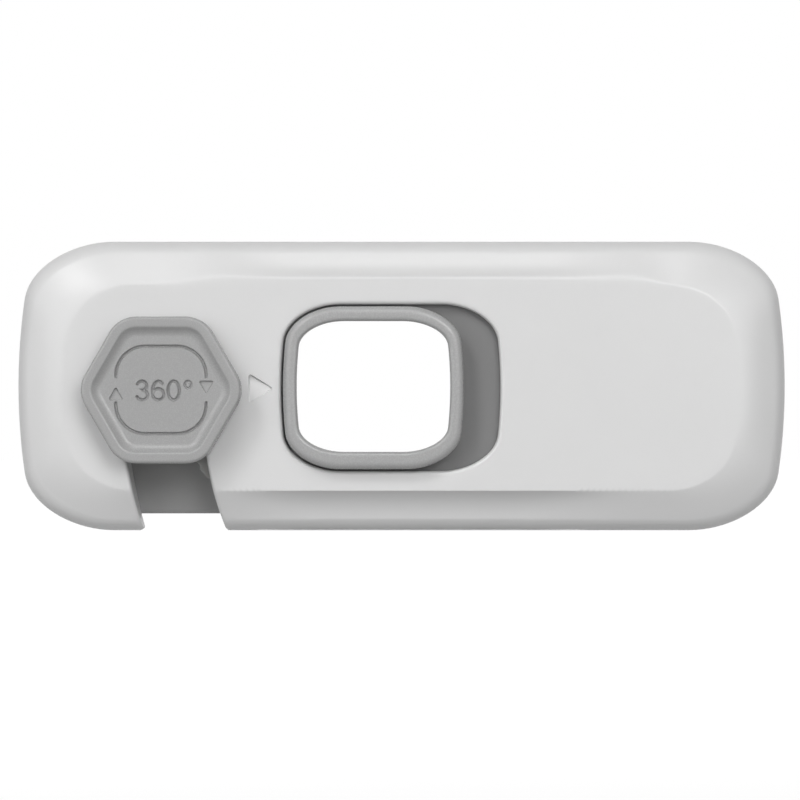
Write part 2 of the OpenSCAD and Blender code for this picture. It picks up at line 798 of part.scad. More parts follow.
module knob_wave_washer() {
    color(steel) stood() translate([-reach, 0, 0])
        wave_washer(stem_r + slide_gap, knob_washer_r, stem_end_d);
}

module knob_washer() {
    color(steel) stood() translate([-reach, 0, 0])
        washer(main_shank_r + turn_gap, knob_washer_r, knob_washer_d + seat_gap, stem_end_d - seat_gap);
}

module knob_screw() {
    color(steel) stood() translate([-reach, 0, knob_head_d])
        screw(knob_head_r, knob_head_h, main_shank_r, knob_d - pilot_end_t - knob_washer_d);
}

front_cover();
rear_cover();
cover_screws();
slider();
latch_tongue();
tongue_rivet();
return_spring_upper();
return_spring_lower();
hinge_base();
hinge_pad();
hinge_bush();
pivot_wave_washer();
pivot_washer();
pivot_screw();
catch_base();
catch_pad();
knob();
knob_wave_washer();
knob_washer();
knob_screw();
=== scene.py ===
"""Cabinet safety lock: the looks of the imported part, its light and its camera.

Shapes are worked out in the lying frame of the part's source: x right, y up the door and d out of
it, in mm. One function turns them upright and into metres when a piece is made.
"""

import logging
import math
from dataclasses import dataclass, field, replace
from enum import Enum
from typing import Callable

import bmesh
import bpy
import numpy as np
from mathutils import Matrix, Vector
from mathutils.geometry import delaunay_2d_cdt


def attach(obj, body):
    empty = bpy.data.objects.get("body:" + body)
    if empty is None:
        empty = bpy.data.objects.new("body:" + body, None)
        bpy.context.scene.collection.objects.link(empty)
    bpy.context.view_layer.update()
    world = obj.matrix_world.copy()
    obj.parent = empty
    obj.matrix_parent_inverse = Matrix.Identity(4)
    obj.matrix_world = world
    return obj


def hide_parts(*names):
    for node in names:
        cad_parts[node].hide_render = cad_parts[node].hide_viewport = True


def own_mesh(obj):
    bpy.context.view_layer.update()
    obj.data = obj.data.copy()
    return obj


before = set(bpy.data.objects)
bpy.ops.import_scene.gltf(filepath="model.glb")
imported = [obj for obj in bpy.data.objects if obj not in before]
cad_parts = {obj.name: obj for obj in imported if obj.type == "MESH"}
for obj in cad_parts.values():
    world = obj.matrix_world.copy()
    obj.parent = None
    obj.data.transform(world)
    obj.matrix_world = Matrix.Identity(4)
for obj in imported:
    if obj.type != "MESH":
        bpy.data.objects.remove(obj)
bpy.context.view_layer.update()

LOG = logging.getLogger("cabinet_lock")
Array = np.ndarray
# Two numbers that belong together: a place, the ends of a span, or a run and a fall
Span = tuple[float, float]
NodeTree, NodeSocket = bpy.types.NodeTree, bpy.types.NodeSocket
MM = 0.001


# Plain curves and shares


def smooth_share(value: Array, low: float, high: float) -> Array:
    """Share from 0 at low to 1 at high, as 3t squared minus 2t cubed."""
    t = np.clip((value - low) / (high - low), 0.0, 1.0)
    return t * t * (3 - 2 * t)


def stretch_share(value: Array, rise: Span, fall: Span) -> Array:
    """Share that rises from 0 to 1 over one span and falls back over another."""
    return smooth_share(value, *rise) * (1 - smooth_share(value, *fall))


def mix(a: float, b: float, share: Array) -> Array:
    """Number that lies the given share of the way from a to b."""
    return a + (b - a) * share


def arc(x: float, y: float, rx: float, ry: float, start: float, end: float, count: int) -> Array:
    """Points along an elliptic arc, centre plus radius times cosine and sine.

    Args:
        x: Centre along x.
        y: Centre along y.
        rx: Radius along x.
        ry: Radius along y.
        start: First angle in degrees.
        end: Last angle in degrees.
        count: Number of points.

    Returns:
        The points, one a row.
    """
    a = np.radians(np.linspace(start, end, count))
    return np.column_stack([x + rx * np.cos(a), y + ry * np.sin(a)])


def round_loop(x: float, y: float, radius: float, count: int = 48) -> Array:
    """Points round a circle, anticlockwise."""
    return arc(x, y, radius, radius, 0, 360 * (1 - 1 / count), count)


def quarter(radius: float, start: float, end: float, count: int) -> list[Span]:
    """Run and fall of a round edge at even turns: the radius times one minus cosine, and sine."""
    turns = np.radians(np.linspace(start, end, count))
    return [(radius * (1 - math.cos(a)), radius * (1 - math.sin(a))) for a in turns]


def rounding(distance: Array, radius: float) -> Array:
    """How much a round edge falls below its face at a distance from its side, as on a circle."""
    left = radius - np.clip(distance, 0, radius)
    return radius - np.sqrt(np.maximum(radius * radius - left * left, 0))


def along(points: Array, step: float) -> Array:
    """Spaces points evenly along a line of points, by its length so far, at most a step apart.

    Args:
        points: The line's corners.
        step: Greatest distance between two new points.

    Returns:
        The new points, the first and last of the line among them.
    """
    run = np.concatenate([[0.0], np.cumsum(np.hypot(*np.diff(points, axis=0).T))])
    at = np.linspace(0, run[-1], max(2, int(math.ceil(run[-1] / step)) + 1))
    return np.column_stack([np.interp(at, run, points[:, 0]), np.interp(at, run, points[:, 1])])


def square_lattice(x: Span, y: Span, step: float) -> Array:
    """Points a step apart over a span of x and a span of y, one a row."""
    return np.stack(np.meshgrid(np.arange(*x, step), np.arange(*y, step)), -1).reshape(-1, 2)


def line_distance(points: Array, a: Array, b: Array) -> Array:
    """Distance from each point to the nearest of the straight lines from a to b.

    Args:
        points: The points, one a row.
        a: The lines' starts, one a row.
        b: The lines' ends, one a row.

    Returns:
        The distances.
    """
    q, run = points[:, None] - a, b - a
    share = np.clip((q * run).sum(-1) / (run ** 2).sum(-1), 0, 1)
    return np.linalg.norm(q - share[..., None] * run, axis=-1).min(1)


@dataclass(frozen=True)
class SoftOutline:
    """A rectangle with elliptic corners and parabolic ends. Its sizes are numbers or arrays."""

    half_l: float
    half_h: float
    corner_l: float
    corner_h: float
    bulge: float = 0.0
    x: float = 0.0
    y: float = 0.0

    def drawn_in(self, inset: float) -> "SoftOutline":
        """The same outline, smaller by an inset all round, its corners with it."""
        return replace(self, half_l=self.half_l - inset, half_h=self.half_h - inset,
                       corner_l=self.corner_l - inset, corner_h=self.corner_h - inset)

    def core(self) -> Span:
        """Places of the corners' centres, from the middle."""
        return self.half_l - self.bulge - self.corner_l, self.half_h - self.corner_h

    def loop(self, corner_n: int, side_n: int, end_n: int) -> Array:
        """Points round the outline, anticlockwise from the right end's upper corner.

        A corner's point is its centre plus the corner's lengths times cosine and sine. The bulge
        then moves each point outwards by bulge times one minus the square of its share of the
        height.

        Args:
            corner_n: Steps in each corner.
            side_n: Steps along each long side.
            end_n: Steps along each end.

        Returns:
            The points, one a row, the first not repeated.
        """
        cx, cy = self.core()
        turns, parts = np.linspace(0, np.pi / 2, corner_n + 1), []
        for k, (sx, sy) in enumerate(((1, 1), (-1, 1), (-1, -1), (1, -1))):
            a = turns + k * np.pi / 2
            parts.append(np.column_stack([sx * cx + self.corner_l * np.cos(a),
                                          sy * cy + self.corner_h * np.sin(a)]))
            t = np.linspace(1, -1, (end_n if k % 2 else side_n) + 1)[1:-1]
            end = [np.full(t.size, sx * (self.half_l - self.bulge)), sy * cy * t]
            side = [sx * cx * t, np.full(t.size, sy * self.half_h)]
            parts.append(np.column_stack(end if k % 2 else side))
        p = np.vstack(parts)
        share = np.clip(p[:, 0] / max(cx, 1e-6), -1, 1)
        p[:, 0] += share * self.bulge * (1 - (p[:, 1] / self.half_h) ** 2)
        return p + [self.x, self.y]

    def shares(self, x: Array, y: Array) -> tuple[Array, Array]:
        """How far points lie past the corners' centres, as shares of the corners' lengths."""
        u, v = np.abs(x - self.x), np.abs(y - self.y)
        cx, cy = self.core()
        bowed = self.bulge * (1 - (v / self.half_h) ** 2) * np.clip(u / np.maximum(cx, 1e-6), 0, 1)
        return np.maximum(u - bowed - cx, 0) / self.corner_l, np.maximum(v - cy, 0) / self.corner_h

    def level(self, x: Array, y: Array) -> Array:
        """Below 0 inside the outline, above 0 outside it: the length of both shares, less one."""
        return np.hypot(*self.shares(x, y)) - 1

    def outside(self, x: Array, y: Array) -> Array:
        """Distance outside the outline, negative inside, as its level over the level's slope.

        Args:
            x: Places along x.
            y: Places along y.

        Returns:
            The distance for each point, in mm.
        """
        qx, qy = self.shares(x, y)
        length = np.maximum(np.hypot(qx, qy), 1e-9)
        slope = np.hypot(qx / self.corner_l, qy / self.corner_h) / length
        return (length - 1) / np.maximum(slope, 1e-9)


@dataclass(frozen=True)
class RoundPolygon:
    """A convex polygon with round corners: everything within a radius of its core."""

    core: tuple[Span, ...]
    radius: float

    def loop(self, offset: float, corner_n: int = 8) -> Array:
        """Points round it at an offset, anticlockwise: each corner turns about its core point.

        Args:
            offset: How far outside the polygon the points lie.
            corner_n: Steps in each corner.

        Returns:
            The points, one a row.
        """
        c = np.array(self.core)
        before, after = c - np.roll(c, 1, 0), np.roll(c, -1, 0) - c
        start = np.arctan2(before[:, 1], before[:, 0]) - np.pi / 2
        turn = (np.arctan2(after[:, 1], after[:, 0]) - np.pi / 2 - start) % (2 * np.pi)
        a = start[:, None] + turn[:, None] * np.linspace(0, 1, corner_n + 1)
        r = self.radius + offset
        return np.stack([c[:, :1] + r * np.cos(a), c[:, 1:] + r * np.sin(a)], -1).reshape(-1, 2)

    def outside(self, x: Array, y: Array) -> Array:
        """Distance outside the polygon: from its core's nearest side, less the radius."""
        p, a = np.column_stack([np.ravel(x), np.ravel(y)]), np.array(self.core)
        b = np.roll(a, -1, 0)
        apart, run, q = line_distance(p, a, b), b - a, p[:, None] - a
        inside = (run[:, 0] * q[..., 1] - run[:, 1] * q[..., 0] > 0).all(1)
        return np.where(inside, -apart, apart).reshape(np.shape(x)) - self.radius


# Surfaces


@dataclass
class Surface:
    """Points in the lying frame, in mm, and the faces between them."""

    points: Array
    faces: list[Array]

    def joined(self, *others: "Surface") -> "Surface":
        """This surface and others as one, each keeping its own points."""
        points, faces = [self.points], list(self.faces)
        shift = len(self.points)
        for other in others:
            points.append(other.points)
            faces += [f + shift for f in other.faces]
            shift += len(other.points)
        return Surface(np.vstack(points), faces)

    def facing_back(self) -> "Surface":
        """The surface mirrored in depth, its faces turned so that they still point out."""
        return Surface(self.points * [1, 1, -1], [f[:, ::-1] for f in self.faces])


def grid(points: Array, ring: bool = False, turned: bool = False) -> Surface:
    """Joins rows of points with quads, each row closed round.

    Faces point out when the rows run anticlockwise and lie from the middle of the back outwards,
    up the side and back in over the front.

    Args:
        points: The points, by row and by place in the row.
        ring: Whether the last row joins the first. If not, both get a flat face.
        turned: Whether the faces point the other way.

    Returns:
        The closed surface.
    """
    rows, n = points.shape[:2]
    i, j = np.meshgrid(np.arange(rows if ring else rows - 1), np.arange(n), indexing="ij")
    up, on = (i + 1) % rows, (j + 1) % n
    quads = np.stack([i * n + j, i * n + on, up * n + on, up * n + j], -1).reshape(-1, 4)
    ends = [] if ring else [np.arange(n)[None, ::-1], (rows - 1) * n + np.arange(n)[None]]
    if turned:
        quads, ends = quads[:, [0, 3, 2, 1]], [f[:, ::-1] for f in ends]
    return Surface(points.reshape(-1, 3), [quads, *ends])


def loft(loops: list[tuple[Array, float]], ring: bool = False) -> Surface:
    """Joins plan loops of equally many points, each at its depth, as a grid."""
    return grid(np.stack([np.column_stack([p, np.full(len(p), d)]) for p, d in loops]), ring)


def circle_like(loop: Array, radius: float, x: float = 0.0, y: float = 0.0) -> Array:
    """A circle with a point in the direction of each point of a loop, so that the two can join."""
    a = np.arctan2(loop[:, 1] - y, loop[:, 0] - x)
    return np.column_stack([x + radius * np.cos(a), y + radius * np.sin(a)])


def tube(place: Span, hole: float, radius: float, d: Span, edge: float = 0.15) -> Surface:
    """A round sleeve or boss: circles of the radius and the hole, with bevelled edges.

    Args:
        place: Its axis along x and y.
        hole: Radius of the hole.
        radius: Outer radius.
        d: Depths of its back and front.
        edge: Width of the bevels.

    Returns:
        The closed surface.
    """
    low, high = d
    steps = [(hole, low), (radius - edge, low), (radius, low + edge), (radius, high - edge),
             (radius - edge, high), (hole + edge, high), (hole, high - edge)]
    return loft([(round_loop(*place, r), depth) for r, depth in steps], ring=True)


def rib(x: Span, y: Span, d: Span, edge: float = 0.15) -> Surface:
    """A rib of a moulding: a soft rectangle that narrows by a bevel at both faces.

    Args:
        x: Its ends along x.
        y: Its sides along y.
        d: Depths of its back and front.
        edge: Width of the bevels.

    Returns:
        The closed surface.
    """
    outline = SoftOutline((x[1] - x[0]) / 2, (y[1] - y[0]) / 2, 2 * edge, 2 * edge, 0,
                          (x[0] + x[1]) / 2, (y[0] + y[1]) / 2)
    steps = [(edge, d[0]), (0.0, d[0] + edge), (0.0, d[1] - edge), (edge, d[1])]
    return loft([(outline.drawn_in(inset).loop(3, 1, 1), depth) for inset, depth in steps])


def peg(x: Span, y: float, d: float, radius: float, bevel: float = 0.25) -> Surface:
    """A peg along x with a bevelled tip, as a round loft laid on its side.

    Args:
        x: Its root and its tip.
        y: Its axis along y.
        d: Its axis's depth.
        radius: Its radius.
        bevel: Width of the bevel at its tip.

    Returns:
        The closed surface.
    """
    length, way = abs(x[1] - x[0]), math.copysign(1, x[1] - x[0])
    steps = [(radius, 0.0), (radius, length - bevel), (radius - bevel, length)]
    rod = loft([(round_loop(0, 0, r, 24), z) for r, z in steps])
    across, up, out = rod.points.T
    return Surface(np.column_stack([x[0] + way * out, y + up, d - way * across]), rod.faces)


@dataclass(frozen=True)
class PlanSheet:
    """A region of the plan that is cut into triangles."""

    points: Array
    triangles: Array

    @staticmethod
    def cut(loose: Array, chains: list[tuple[Array, bool]],
            inside: Callable[[Array, Array], Array]) -> "PlanSheet":
        """Triangulates by the Delaunay rule and keeps the triangles whose middles are inside.

        Args:
            loose: Loose points.
            chains: Lines that the triangles have to follow, each with whether it closes.
            inside: Says for places along x and y whether they are in the region.

        Returns:
            The sheet.
        """
        points, edges, first = [loose.reshape(-1, 2)], [], len(loose)
        for line, closed in chains:
            n = len(line)
            k = np.arange(n if closed else n - 1)
            edges.append(np.column_stack([first + k, first + (k + 1) % n]))
            points.append(line)
            first += n
        vectors = [Vector(p) for p in np.vstack(points).tolist()]
        out = delaunay_2d_cdt(vectors, np.vstack(edges).tolist(), [], 0, 1e-4, False)
        xy, t = np.array([v.to_tuple() for v in out[0]]), np.array(out[2])
        return PlanSheet(xy, t[inside(*xy[t].mean(1).T)])

    def middles(self) -> tuple[Array, Array]:
        """Places of the triangles' middles."""
        x, y = self.points[self.triangles].mean(1).T
        return x, y

    def edges(self, marked: Array) -> tuple[Array, Array]:
        """Finds the borders of the sheet and the edges between marked and other triangles.

        Args:
            marked: Whether each triangle is marked.

        Returns:
            The border edges with a column for the mark, and the inner edges as the marked
            triangle runs them.
        """
        t = self.triangles
        run = np.vstack([t[:, [0, 1]], t[:, [1, 2]], t[:, [2, 0]]])
        owner = np.tile(marked, 3)
        key = run.min(1) * len(self.points) + run.max(1)
        _, index, count = np.unique(key, return_inverse=True, return_counts=True)
        sums = np.bincount(index, weights=owner.astype(float))
        border = count[index] == 1
        inner = (count[index] == 2) & (sums[index] == 1) & owner
        return np.column_stack([run[border], owner[border].astype(int)]), run[inner]


def side_quads(edges: Array, low: int, high: int) -> Array:
    """Quads from a layer's edges to another layer's. The layers' points start at low and high."""
    a, b = edges.T
    return np.column_stack([a + low, b + low, b + high, a + high])


def thick_sheet(sheet: PlanSheet, front: Array, back: Array, wall: Array, wall_d: float,
                skirt: list[Array]) -> Surface:
    """Makes a closed body of a plan sheet: front, back that steps down to the walls' feet, sides.

    Args:
        sheet: The plan.
        front: Depth of the front at each point.
        back: Depth of the back at each point that isn't on a wall.
        wall: Whether each triangle is on a wall.
        wall_d: Depth of the walls' feet.
        skirt: Rows of points for the walls' sides, from the front down to the feet.

    Returns:
        The closed surface, facing out.
    """
    n, xy = len(sheet.points), sheet.points
    foot = np.column_stack([xy, np.full(n, wall_d)])
    border, inner = sheet.edges(wall)
    on_wall, free = border[border[:, 2] == 1, :2], border[border[:, 2] == 0, :2]
    if skirt:
        foot[np.unique(on_wall)] = skirt[-1][np.unique(on_wall)]
    rows = [np.column_stack([xy, front]), *skirt[:-1], foot]
    layers = [*rows, np.column_stack([xy, back])]
    last, low = (len(rows) - 1) * n, len(rows) * n
    t = sheet.triangles
    faces = [t, t[wall][:, ::-1] + last, t[~wall][:, ::-1] + low]
    faces += [side_quads(on_wall, (k + 1) * n, k * n) for k in range(len(rows) - 1)]
    faces += [side_quads(free, low, 0), side_quads(inner, last, low)]
    return Surface(np.vstack(layers), faces)


# Finishes


def linear(code: str) -> tuple[float, float, float, float]:
    """Turns an sRGB hex colour into linear light: below 0.04045 over 12.92, else to the 2.4."""
    c = np.array([int(code[i:i + 2], 16) for i in (0, 2, 4)]) / 255
    c = np.where(c <= 0.04045, c / 12.92, ((c + 0.055) / 1.055) ** 2.4)
    return (*map(float, c), 1.0)


def empty_tree(owner: bpy.types.Material | bpy.types.World) -> NodeTree:
    """Switches a material or a world to nodes and returns its tree, emptied."""
    owner.use_nodes = True
    owner.node_tree.nodes.clear()
    return owner.node_tree


def add_node(tree: NodeTree, kind: str, links: dict | None = None,
             **settings) -> bpy.types.Node:
    """Adds a node to a tree, with its settings and what feeds it.

    Args:
        tree: The material's or the world's tree.
        kind: Blender's name of the node's type.
        links: For each input, by name or number, a value or the output that feeds it.
        settings: Values of the node's own properties.

    Returns:
        The node.
    """
    node = tree.nodes.new(kind)
    for name, value in settings.items():
        setattr(node, name, value)
    for name, value in (links or {}).items():
        if isinstance(value, NodeSocket):
            tree.links.new(value, node.inputs[name])
        else:
            node.inputs[name].default_value = value
    return node


def per_mm(size: float) -> float:
    """Scale of a pattern with cells of so many mm, in Object coordinates, which are metres."""
    return 1.0 / (size * MM)


def add_noise(tree: NodeTree, where: NodeSocket, size: float, detail: float,
              roughness: float) -> NodeSocket:
    """Adds a noise whose cells measure a size in mm and returns its height."""
    links = {"Vector": where, "Scale": per_mm(size), "Detail": detail, "Roughness": roughness}
    return add_node(tree, "ShaderNodeTexNoise", links).outputs["Fac"]


@dataclass(frozen=True)
class Finish:
    """What a surface is made of and how it was made."""

    name: str
    colour: str
    tint: str
    roughness: float
    spread: float
    grain: float
    relief: float
    patch: float = 14.0
    ior: float = 1.5
    specular: float = 0.5
    metallic: float = 0.0

    def pattern(self, tree: NodeTree, where: NodeSocket) -> NodeSocket:
        """The relief's height: an even noise as large as the grain."""
        return add_noise(tree, where, self.grain, 2.0, 0.55)

    def material(self) -> bpy.types.Material:
        """Builds the material once and returns it.

        The colour drifts between two near shades over patches of some mm, the roughness follows
        the grain, and the grain gives the bump.

        Returns:
            The material.
        """
        found = bpy.data.materials.get(self.name)
        if found:
            return found
        made = bpy.data.materials.new(self.name)
        tree = empty_tree(made)
        where = add_node(tree, "ShaderNodeTexCoord").outputs["Object"]
        drift = add_noise(tree, where, self.patch, 3.0, 0.6)
        shade = add_node(tree, "ShaderNodeMix",
                         {0: drift, 6: linear(self.colour), 7: linear(self.tint)},
                         data_type="RGBA")
        height = self.pattern(tree, where)
        rough = add_node(tree, "ShaderNodeMapRange",
                         {"Value": height, "From Min": 0.3, "From Max": 0.7,
                          "To Min": self.roughness - self.spread,
                          "To Max": self.roughness + self.spread})
        bump = add_node(tree, "ShaderNodeBump",
                        {"Height": height, "Distance": self.relief * MM, "Strength": 1.0})
        shader = add_node(tree, "ShaderNodeBsdfPrincipled",
                          {"Base Color": shade.outputs[2], "Roughness": rough.outputs["Result"],
                           "Normal": bump.outputs["Normal"], "IOR": self.ior,
                           "Metallic": self.metallic, "Specular IOR Level": self.specular})
        add_node(tree, "ShaderNodeOutputMaterial", {"Surface": shader.outputs["BSDF"]})
        return made


@dataclass(frozen=True)
class DrawnFinish(Finish):
    """A drawn or turned metal, whose relief is fine lines in one direction."""

    stretch: tuple[float, float, float] = (1.0, 1.0, 12.0)

    def pattern(self, tree: NodeTree, where: NodeSocket) -> NodeSocket:
        """The relief's height: a noise that is drawn out into lines."""
        laid = add_node(tree, "ShaderNodeMapping", {"Vector": where, "Scale": self.stretch})
        return add_noise(tree, laid.outputs["Vector"], self.grain, 3.0, 0.5)


@dataclass(frozen=True)
class FoamFinish(Finish):
    """A closed-cell foam, whose relief is its cut cells."""

    def pattern(self, tree: NodeTree, where: NodeSocket) -> NodeSocket:
        """The relief's height: the distance to the middle of the nearest cell."""
        cells = add_node(tree, "ShaderNodeTexVoronoi",
                         {"Vector": where, "Scale": per_mm(self.grain)})
        return cells.outputs["Distance"]


class Finishes(Enum):
    """The finishes of the lock's pieces."""

    # ABS moulded in a fine spark-eroded tool: a pale satin skin that spreads its highlights
    SHELL = Finish("abs_satin_moulded_light_grey", "D6D6D6", "DADADA", 0.33, 0.04, 0.16, 0.0014)
    # The same plastic in mid grey, a little smoother on the ring, which hands polish
    GREY = Finish("abs_satin_moulded_mid_grey", "A2A2A2", "A5A5A5", 0.27, 0.02, 0.16, 0.0002)
    # The knob, darker by a shade
    KNOB = Finish("abs_satin_moulded_knob_grey", "9E9E9E", "A1A1A1", 0.27, 0.02, 0.16, 0.0002)
    # The slide's flange: the ring's grey plastic with a coarse tool texture, its colour darkened as
    # painted shade for the slot floor
    FLOOR_PAINTED_SHADE = Finish("abs_coarse_moulded_grey_painted_shade", "787878", "7C7C7C", 0.6, 0.06, 0.22, 0.003,
                   specular=0.35)
    # Glass-filled ABS of the bases, drier
    BASE = Finish("glass_filled_abs_moulded_grey", "9E9E9E", "A4A4A4", 0.55, 0.06, 0.25, 0.003)
    # Acetal, self-coloured and waxy
    ACETAL = Finish("acetal_moulded_grey", "9A9A98", "A0A09E", 0.34, 0.03, 0.3, 0.0008, ior=1.48)
    # Mild steel with bright zinc plating
    ZINC = Finish("steel_zinc_plated", "C9CBCE", "BFC2C7", 0.3, 0.07, 0.35, 0.002, patch=5.0,
                  metallic=1.0)
    # Patented spring wire, cold drawn
    WIRE = DrawnFinish("spring_steel_cold_drawn", "A9AAAD", "9C9DA1", 0.32, 0.08, 0.12, 0.002,
                       metallic=1.0)
    # Black closed-cell polyethylene foam tape, its cells 0.35 mm
    FOAM = FoamFinish("polyethylene_foam_closed_cell", "2B2B2C", "353536", 0.85, 0.08, 0.35, 0.03,
                      patch=4.0)


# Pieces


def add_object(name: str, data: bpy.types.ID) -> bpy.types.Object:
    """Adds an object with its mesh, lamp or camera to the scene."""
    made = bpy.data.objects.new(name, data)
    bpy.context.scene.collection.objects.link(made)
    return made


def make_piece(name: str, surface: Surface, body: str, finish: Finishes,
               stands_for: tuple[str, ...] = (), sharp: float = 35.0) -> bpy.types.Object:
    """Turns a surface upright, into metres and into an object that rides on a body.

    Args:
        name: The piece's name.
        surface: Its points and faces in the lying frame.
        body: The CAD body that it moves with.
        finish: Its finish.
        stands_for: CAD nodes that it replaces.
        sharp: Angle in degrees from which an edge is drawn sharp.

    Returns:
        The object.
    """
    p = surface.points
    upright = np.column_stack([p[:, 0], -p[:, 2], p[:, 1]]) * MM
    mesh = bpy.data.meshes.new(name)
    mesh.from_pydata(upright.tolist(), [], [f for part in surface.faces for f in part.tolist()])
    shaped = bmesh.new()
    shaped.from_mesh(mesh)
    bmesh.ops.remove_doubles(shaped, verts=shaped.verts, dist=1e-6)
    loose = [v for v in shaped.verts if not v.link_faces]
    bmesh.ops.delete(shaped, geom=loose, context="VERTS")
    shaped.to_mesh(mesh)
    shaped.free()
    mesh.polygons.foreach_set("use_smooth", np.ones(len(mesh.polygons), bool))
    mesh.set_sharp_from_angle(angle=math.radians(sharp))
    mesh.materials.append(finish.value.material())
    mesh.update()
    piece = add_object(name, mesh)
    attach(piece, body)
    if stands_for:
        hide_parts(*stands_for)
    LOG.info("%s on %s: %d faces", name, body, len(mesh.polygons))
    return piece


def dress_node(name: str, finish: Finishes, bevel: float) -> None:
    """Gives a carried-over CAD node its finish, and rounds its edges with modifiers.

    Args:
        name: The node's name.
        finish: Its finish.
        bevel: Width of the round edges in mm.
    """
    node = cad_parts[name]
    node.data.materials.clear()
    node.data.materials.append(finish.value.material())
    node.modifiers.new("one_skin", "WELD").merge_threshold = 2e-6
    soft = node.modifiers.new("round_edges", "BEVEL")
    soft.width, soft.segments, soft.limit_method = bevel * MM, 2, "ANGLE"
    soft.angle_limit = math.radians(40)
    LOG.info("%s keeps its CAD shape, in %s", name, finish.value.name)


# The housing's plan, which several pieces share


@dataclass(frozen=True)
class Notch:
    """The notch's plan: a band about the arc that the neck takes round the pivot, to the catch."""

    reach: float = 71.3
    radius: float = 6.1

    def outside(self, x: Array, y: Array) -> Array:
        """Distance outside: from the arc below the catch or the catch above it, less the radius."""
        below = np.abs(np.hypot(x, y) - self.reach)
        return np.where((y < 0) & (x < 0), below, np.hypot(x + self.reach, y)) - self.radius

    def line(self, offset: float, foot_y: float, step: float = 0.5) -> Array:
        """Points along its edge, from the mouth's right corner up and round to the left corner.

        Args:
            offset: How far outside the notch the line runs.
            foot_y: Where it starts and ends, along y.
            step: Distance between points.

        Returns:
            The points, one a row.
        """
        r = self.radius + offset
        right, left = self.reach - r, self.reach + r
        a0, a1 = math.asin(-foot_y / right), math.asin(-foot_y / left)
        rise = np.linspace(a0, 0, max(4, round(a0 * right / step)))[:-1]
        fall = np.linspace(0, a1, max(4, round(a1 * left / step)))[1:]
        top = arc(-self.reach, 0, r, r, 0, 180, max(12, round(math.pi * r / step)))
        return np.vstack([np.column_stack([-right * np.cos(rise), -right * np.sin(rise)]), top,
                          np.column_stack([-left * np.cos(fall), -left * np.sin(fall)])])

    def opened(self, loop: Array, clear: float) -> Array:
        """Opens a loop where the notch crosses it, from the mouth's right side round to its left.

        Args:
            loop: A loop round the housing.
            clear: Distance from the notch within which points are left out.

        Returns:
            The points that are left, in order.
        """
        keep = self.outside(loop[:, 0], loop[:, 1]) > clear
        first = int(np.argmax(keep & ~np.roll(keep, 1)))
        return np.roll(loop, -first, 0)[np.roll(keep, -first)]

    def border(self, outline: Array, foot_y: float, corner: float) -> Array:
        """The housing's border with the notch in it and the mouth's two corners rounded.

        Each corner is a quadratic curve from the outline to the notch's edge.

        Args:
            outline: Points round the housing.
            foot_y: The bottom side's place along y.
            corner: Length of the rounded corners.

        Returns:
            The closed border, anticlockwise.
        """
        line = self.line(0.0, foot_y)
        right, left = line[0], line[-1]
        apart = np.minimum(np.hypot(*(line - right).T), np.hypot(*(line - left).T))
        edge, rest = line[apart > corner], self.opened(outline, 0.0)
        rest = rest[(rest[:, 0] > right[0] + corner) | (rest[:, 0] < left[0] - corner)
                    | (rest[:, 1] > foot_y + 1)]
        t = np.linspace(0, 1, 6)[:, None]
        up_right = right + (edge[0] - right) / np.hypot(*(edge[0] - right)) * corner
        up_left = left + (edge[-1] - left) / np.hypot(*(edge[-1] - left)) * corner
        out_right, into_left = (
            (1 - t) ** 2 * a + 2 * t * (1 - t) * b + t ** 2 * c for a, b, c in
            ((up_right, right, right + [corner, 0]), (left - [corner, 0], left, up_left)))
        return np.vstack([out_right, rest, into_left, edge[::-1]])


HOUSING = SoftOutline(half_l=60.0, half_h=22.6, corner_l=12.3, corner_h=9.0, bulge=2.7, x=-34.0,
                      y=0.5)
NOTCH = Notch()
# The rear cover's notch is a little wider, so that its edge stays behind the front cover's
REAR_NOTCH = Notch(radius=6.5)
# How far from the notch the covers' walls take up their full roundness
NOTCH_FADE = (0.0, 0.4)
SLOT = SoftOutline(half_l=17.02, half_h=12.94, corner_l=8.0, corner_h=5.7, bulge=1.15, x=-35.67,
                   y=0.22)
SCREW_PLACES = ((-84.0, 11.0), (-84.0, -10.0), (19.6, 7.5), (19.6, -6.5))
SCREW_HOLE = 1.12
# The covers' meeting: each wall runs straight for the last of its height and steps in at the seam
SEAM_LAND = 0.2
SEAM_STEP = 0.14


def skirt_rows(sheet: PlanSheet, out: Array, share: Array, front: Array, turns: list[Span],
               reach: float, seam: float) -> list[Array]:
    """Rows of points down the walls' sides: round below the front, then straight to the seam.

    Args:
        sheet: The plan.
        out: Direction out of the housing at each point.
        share: How much of the roundness each point takes. Without it the side is straight.
        front: Depth of the front at each point.
        turns: Shift outwards and depth at each turn of the round edge.
        reach: Shift outwards of the straight part.
        seam: Depth of the seam.

    Returns:
        The rows, one point each for each plan point.
    """
    land = seam + SEAM_LAND
    places = []
    for k, (shift, depth) in enumerate(turns):
        straight = front + (land - front) * (k + 1) / (len(turns) + 1)
        places.append((shift, mix(straight, depth, share)))
    level = np.ones(len(share))
    places += [(reach, land * level), (reach - SEAM_STEP, seam * level)]
    return [np.column_stack([sheet.points + (shift * share)[:, None] * out, depth])
            for shift, depth in places]


# The springs lie above and below the ring, and push between the cover's seats and the slider's
SPRING_MIDDLE_Y = 0.4
SPRING_OFFSET_Y = 10.5
SPRING_D = 8.35
PEG_R = 1.3


def spring_y(side: int) -> float:
    """Place along y of the upper spring's axis, for side 1, or the lower one's, for side -1."""
    return SPRING_MIDDLE_Y + side * SPRING_OFFSET_Y


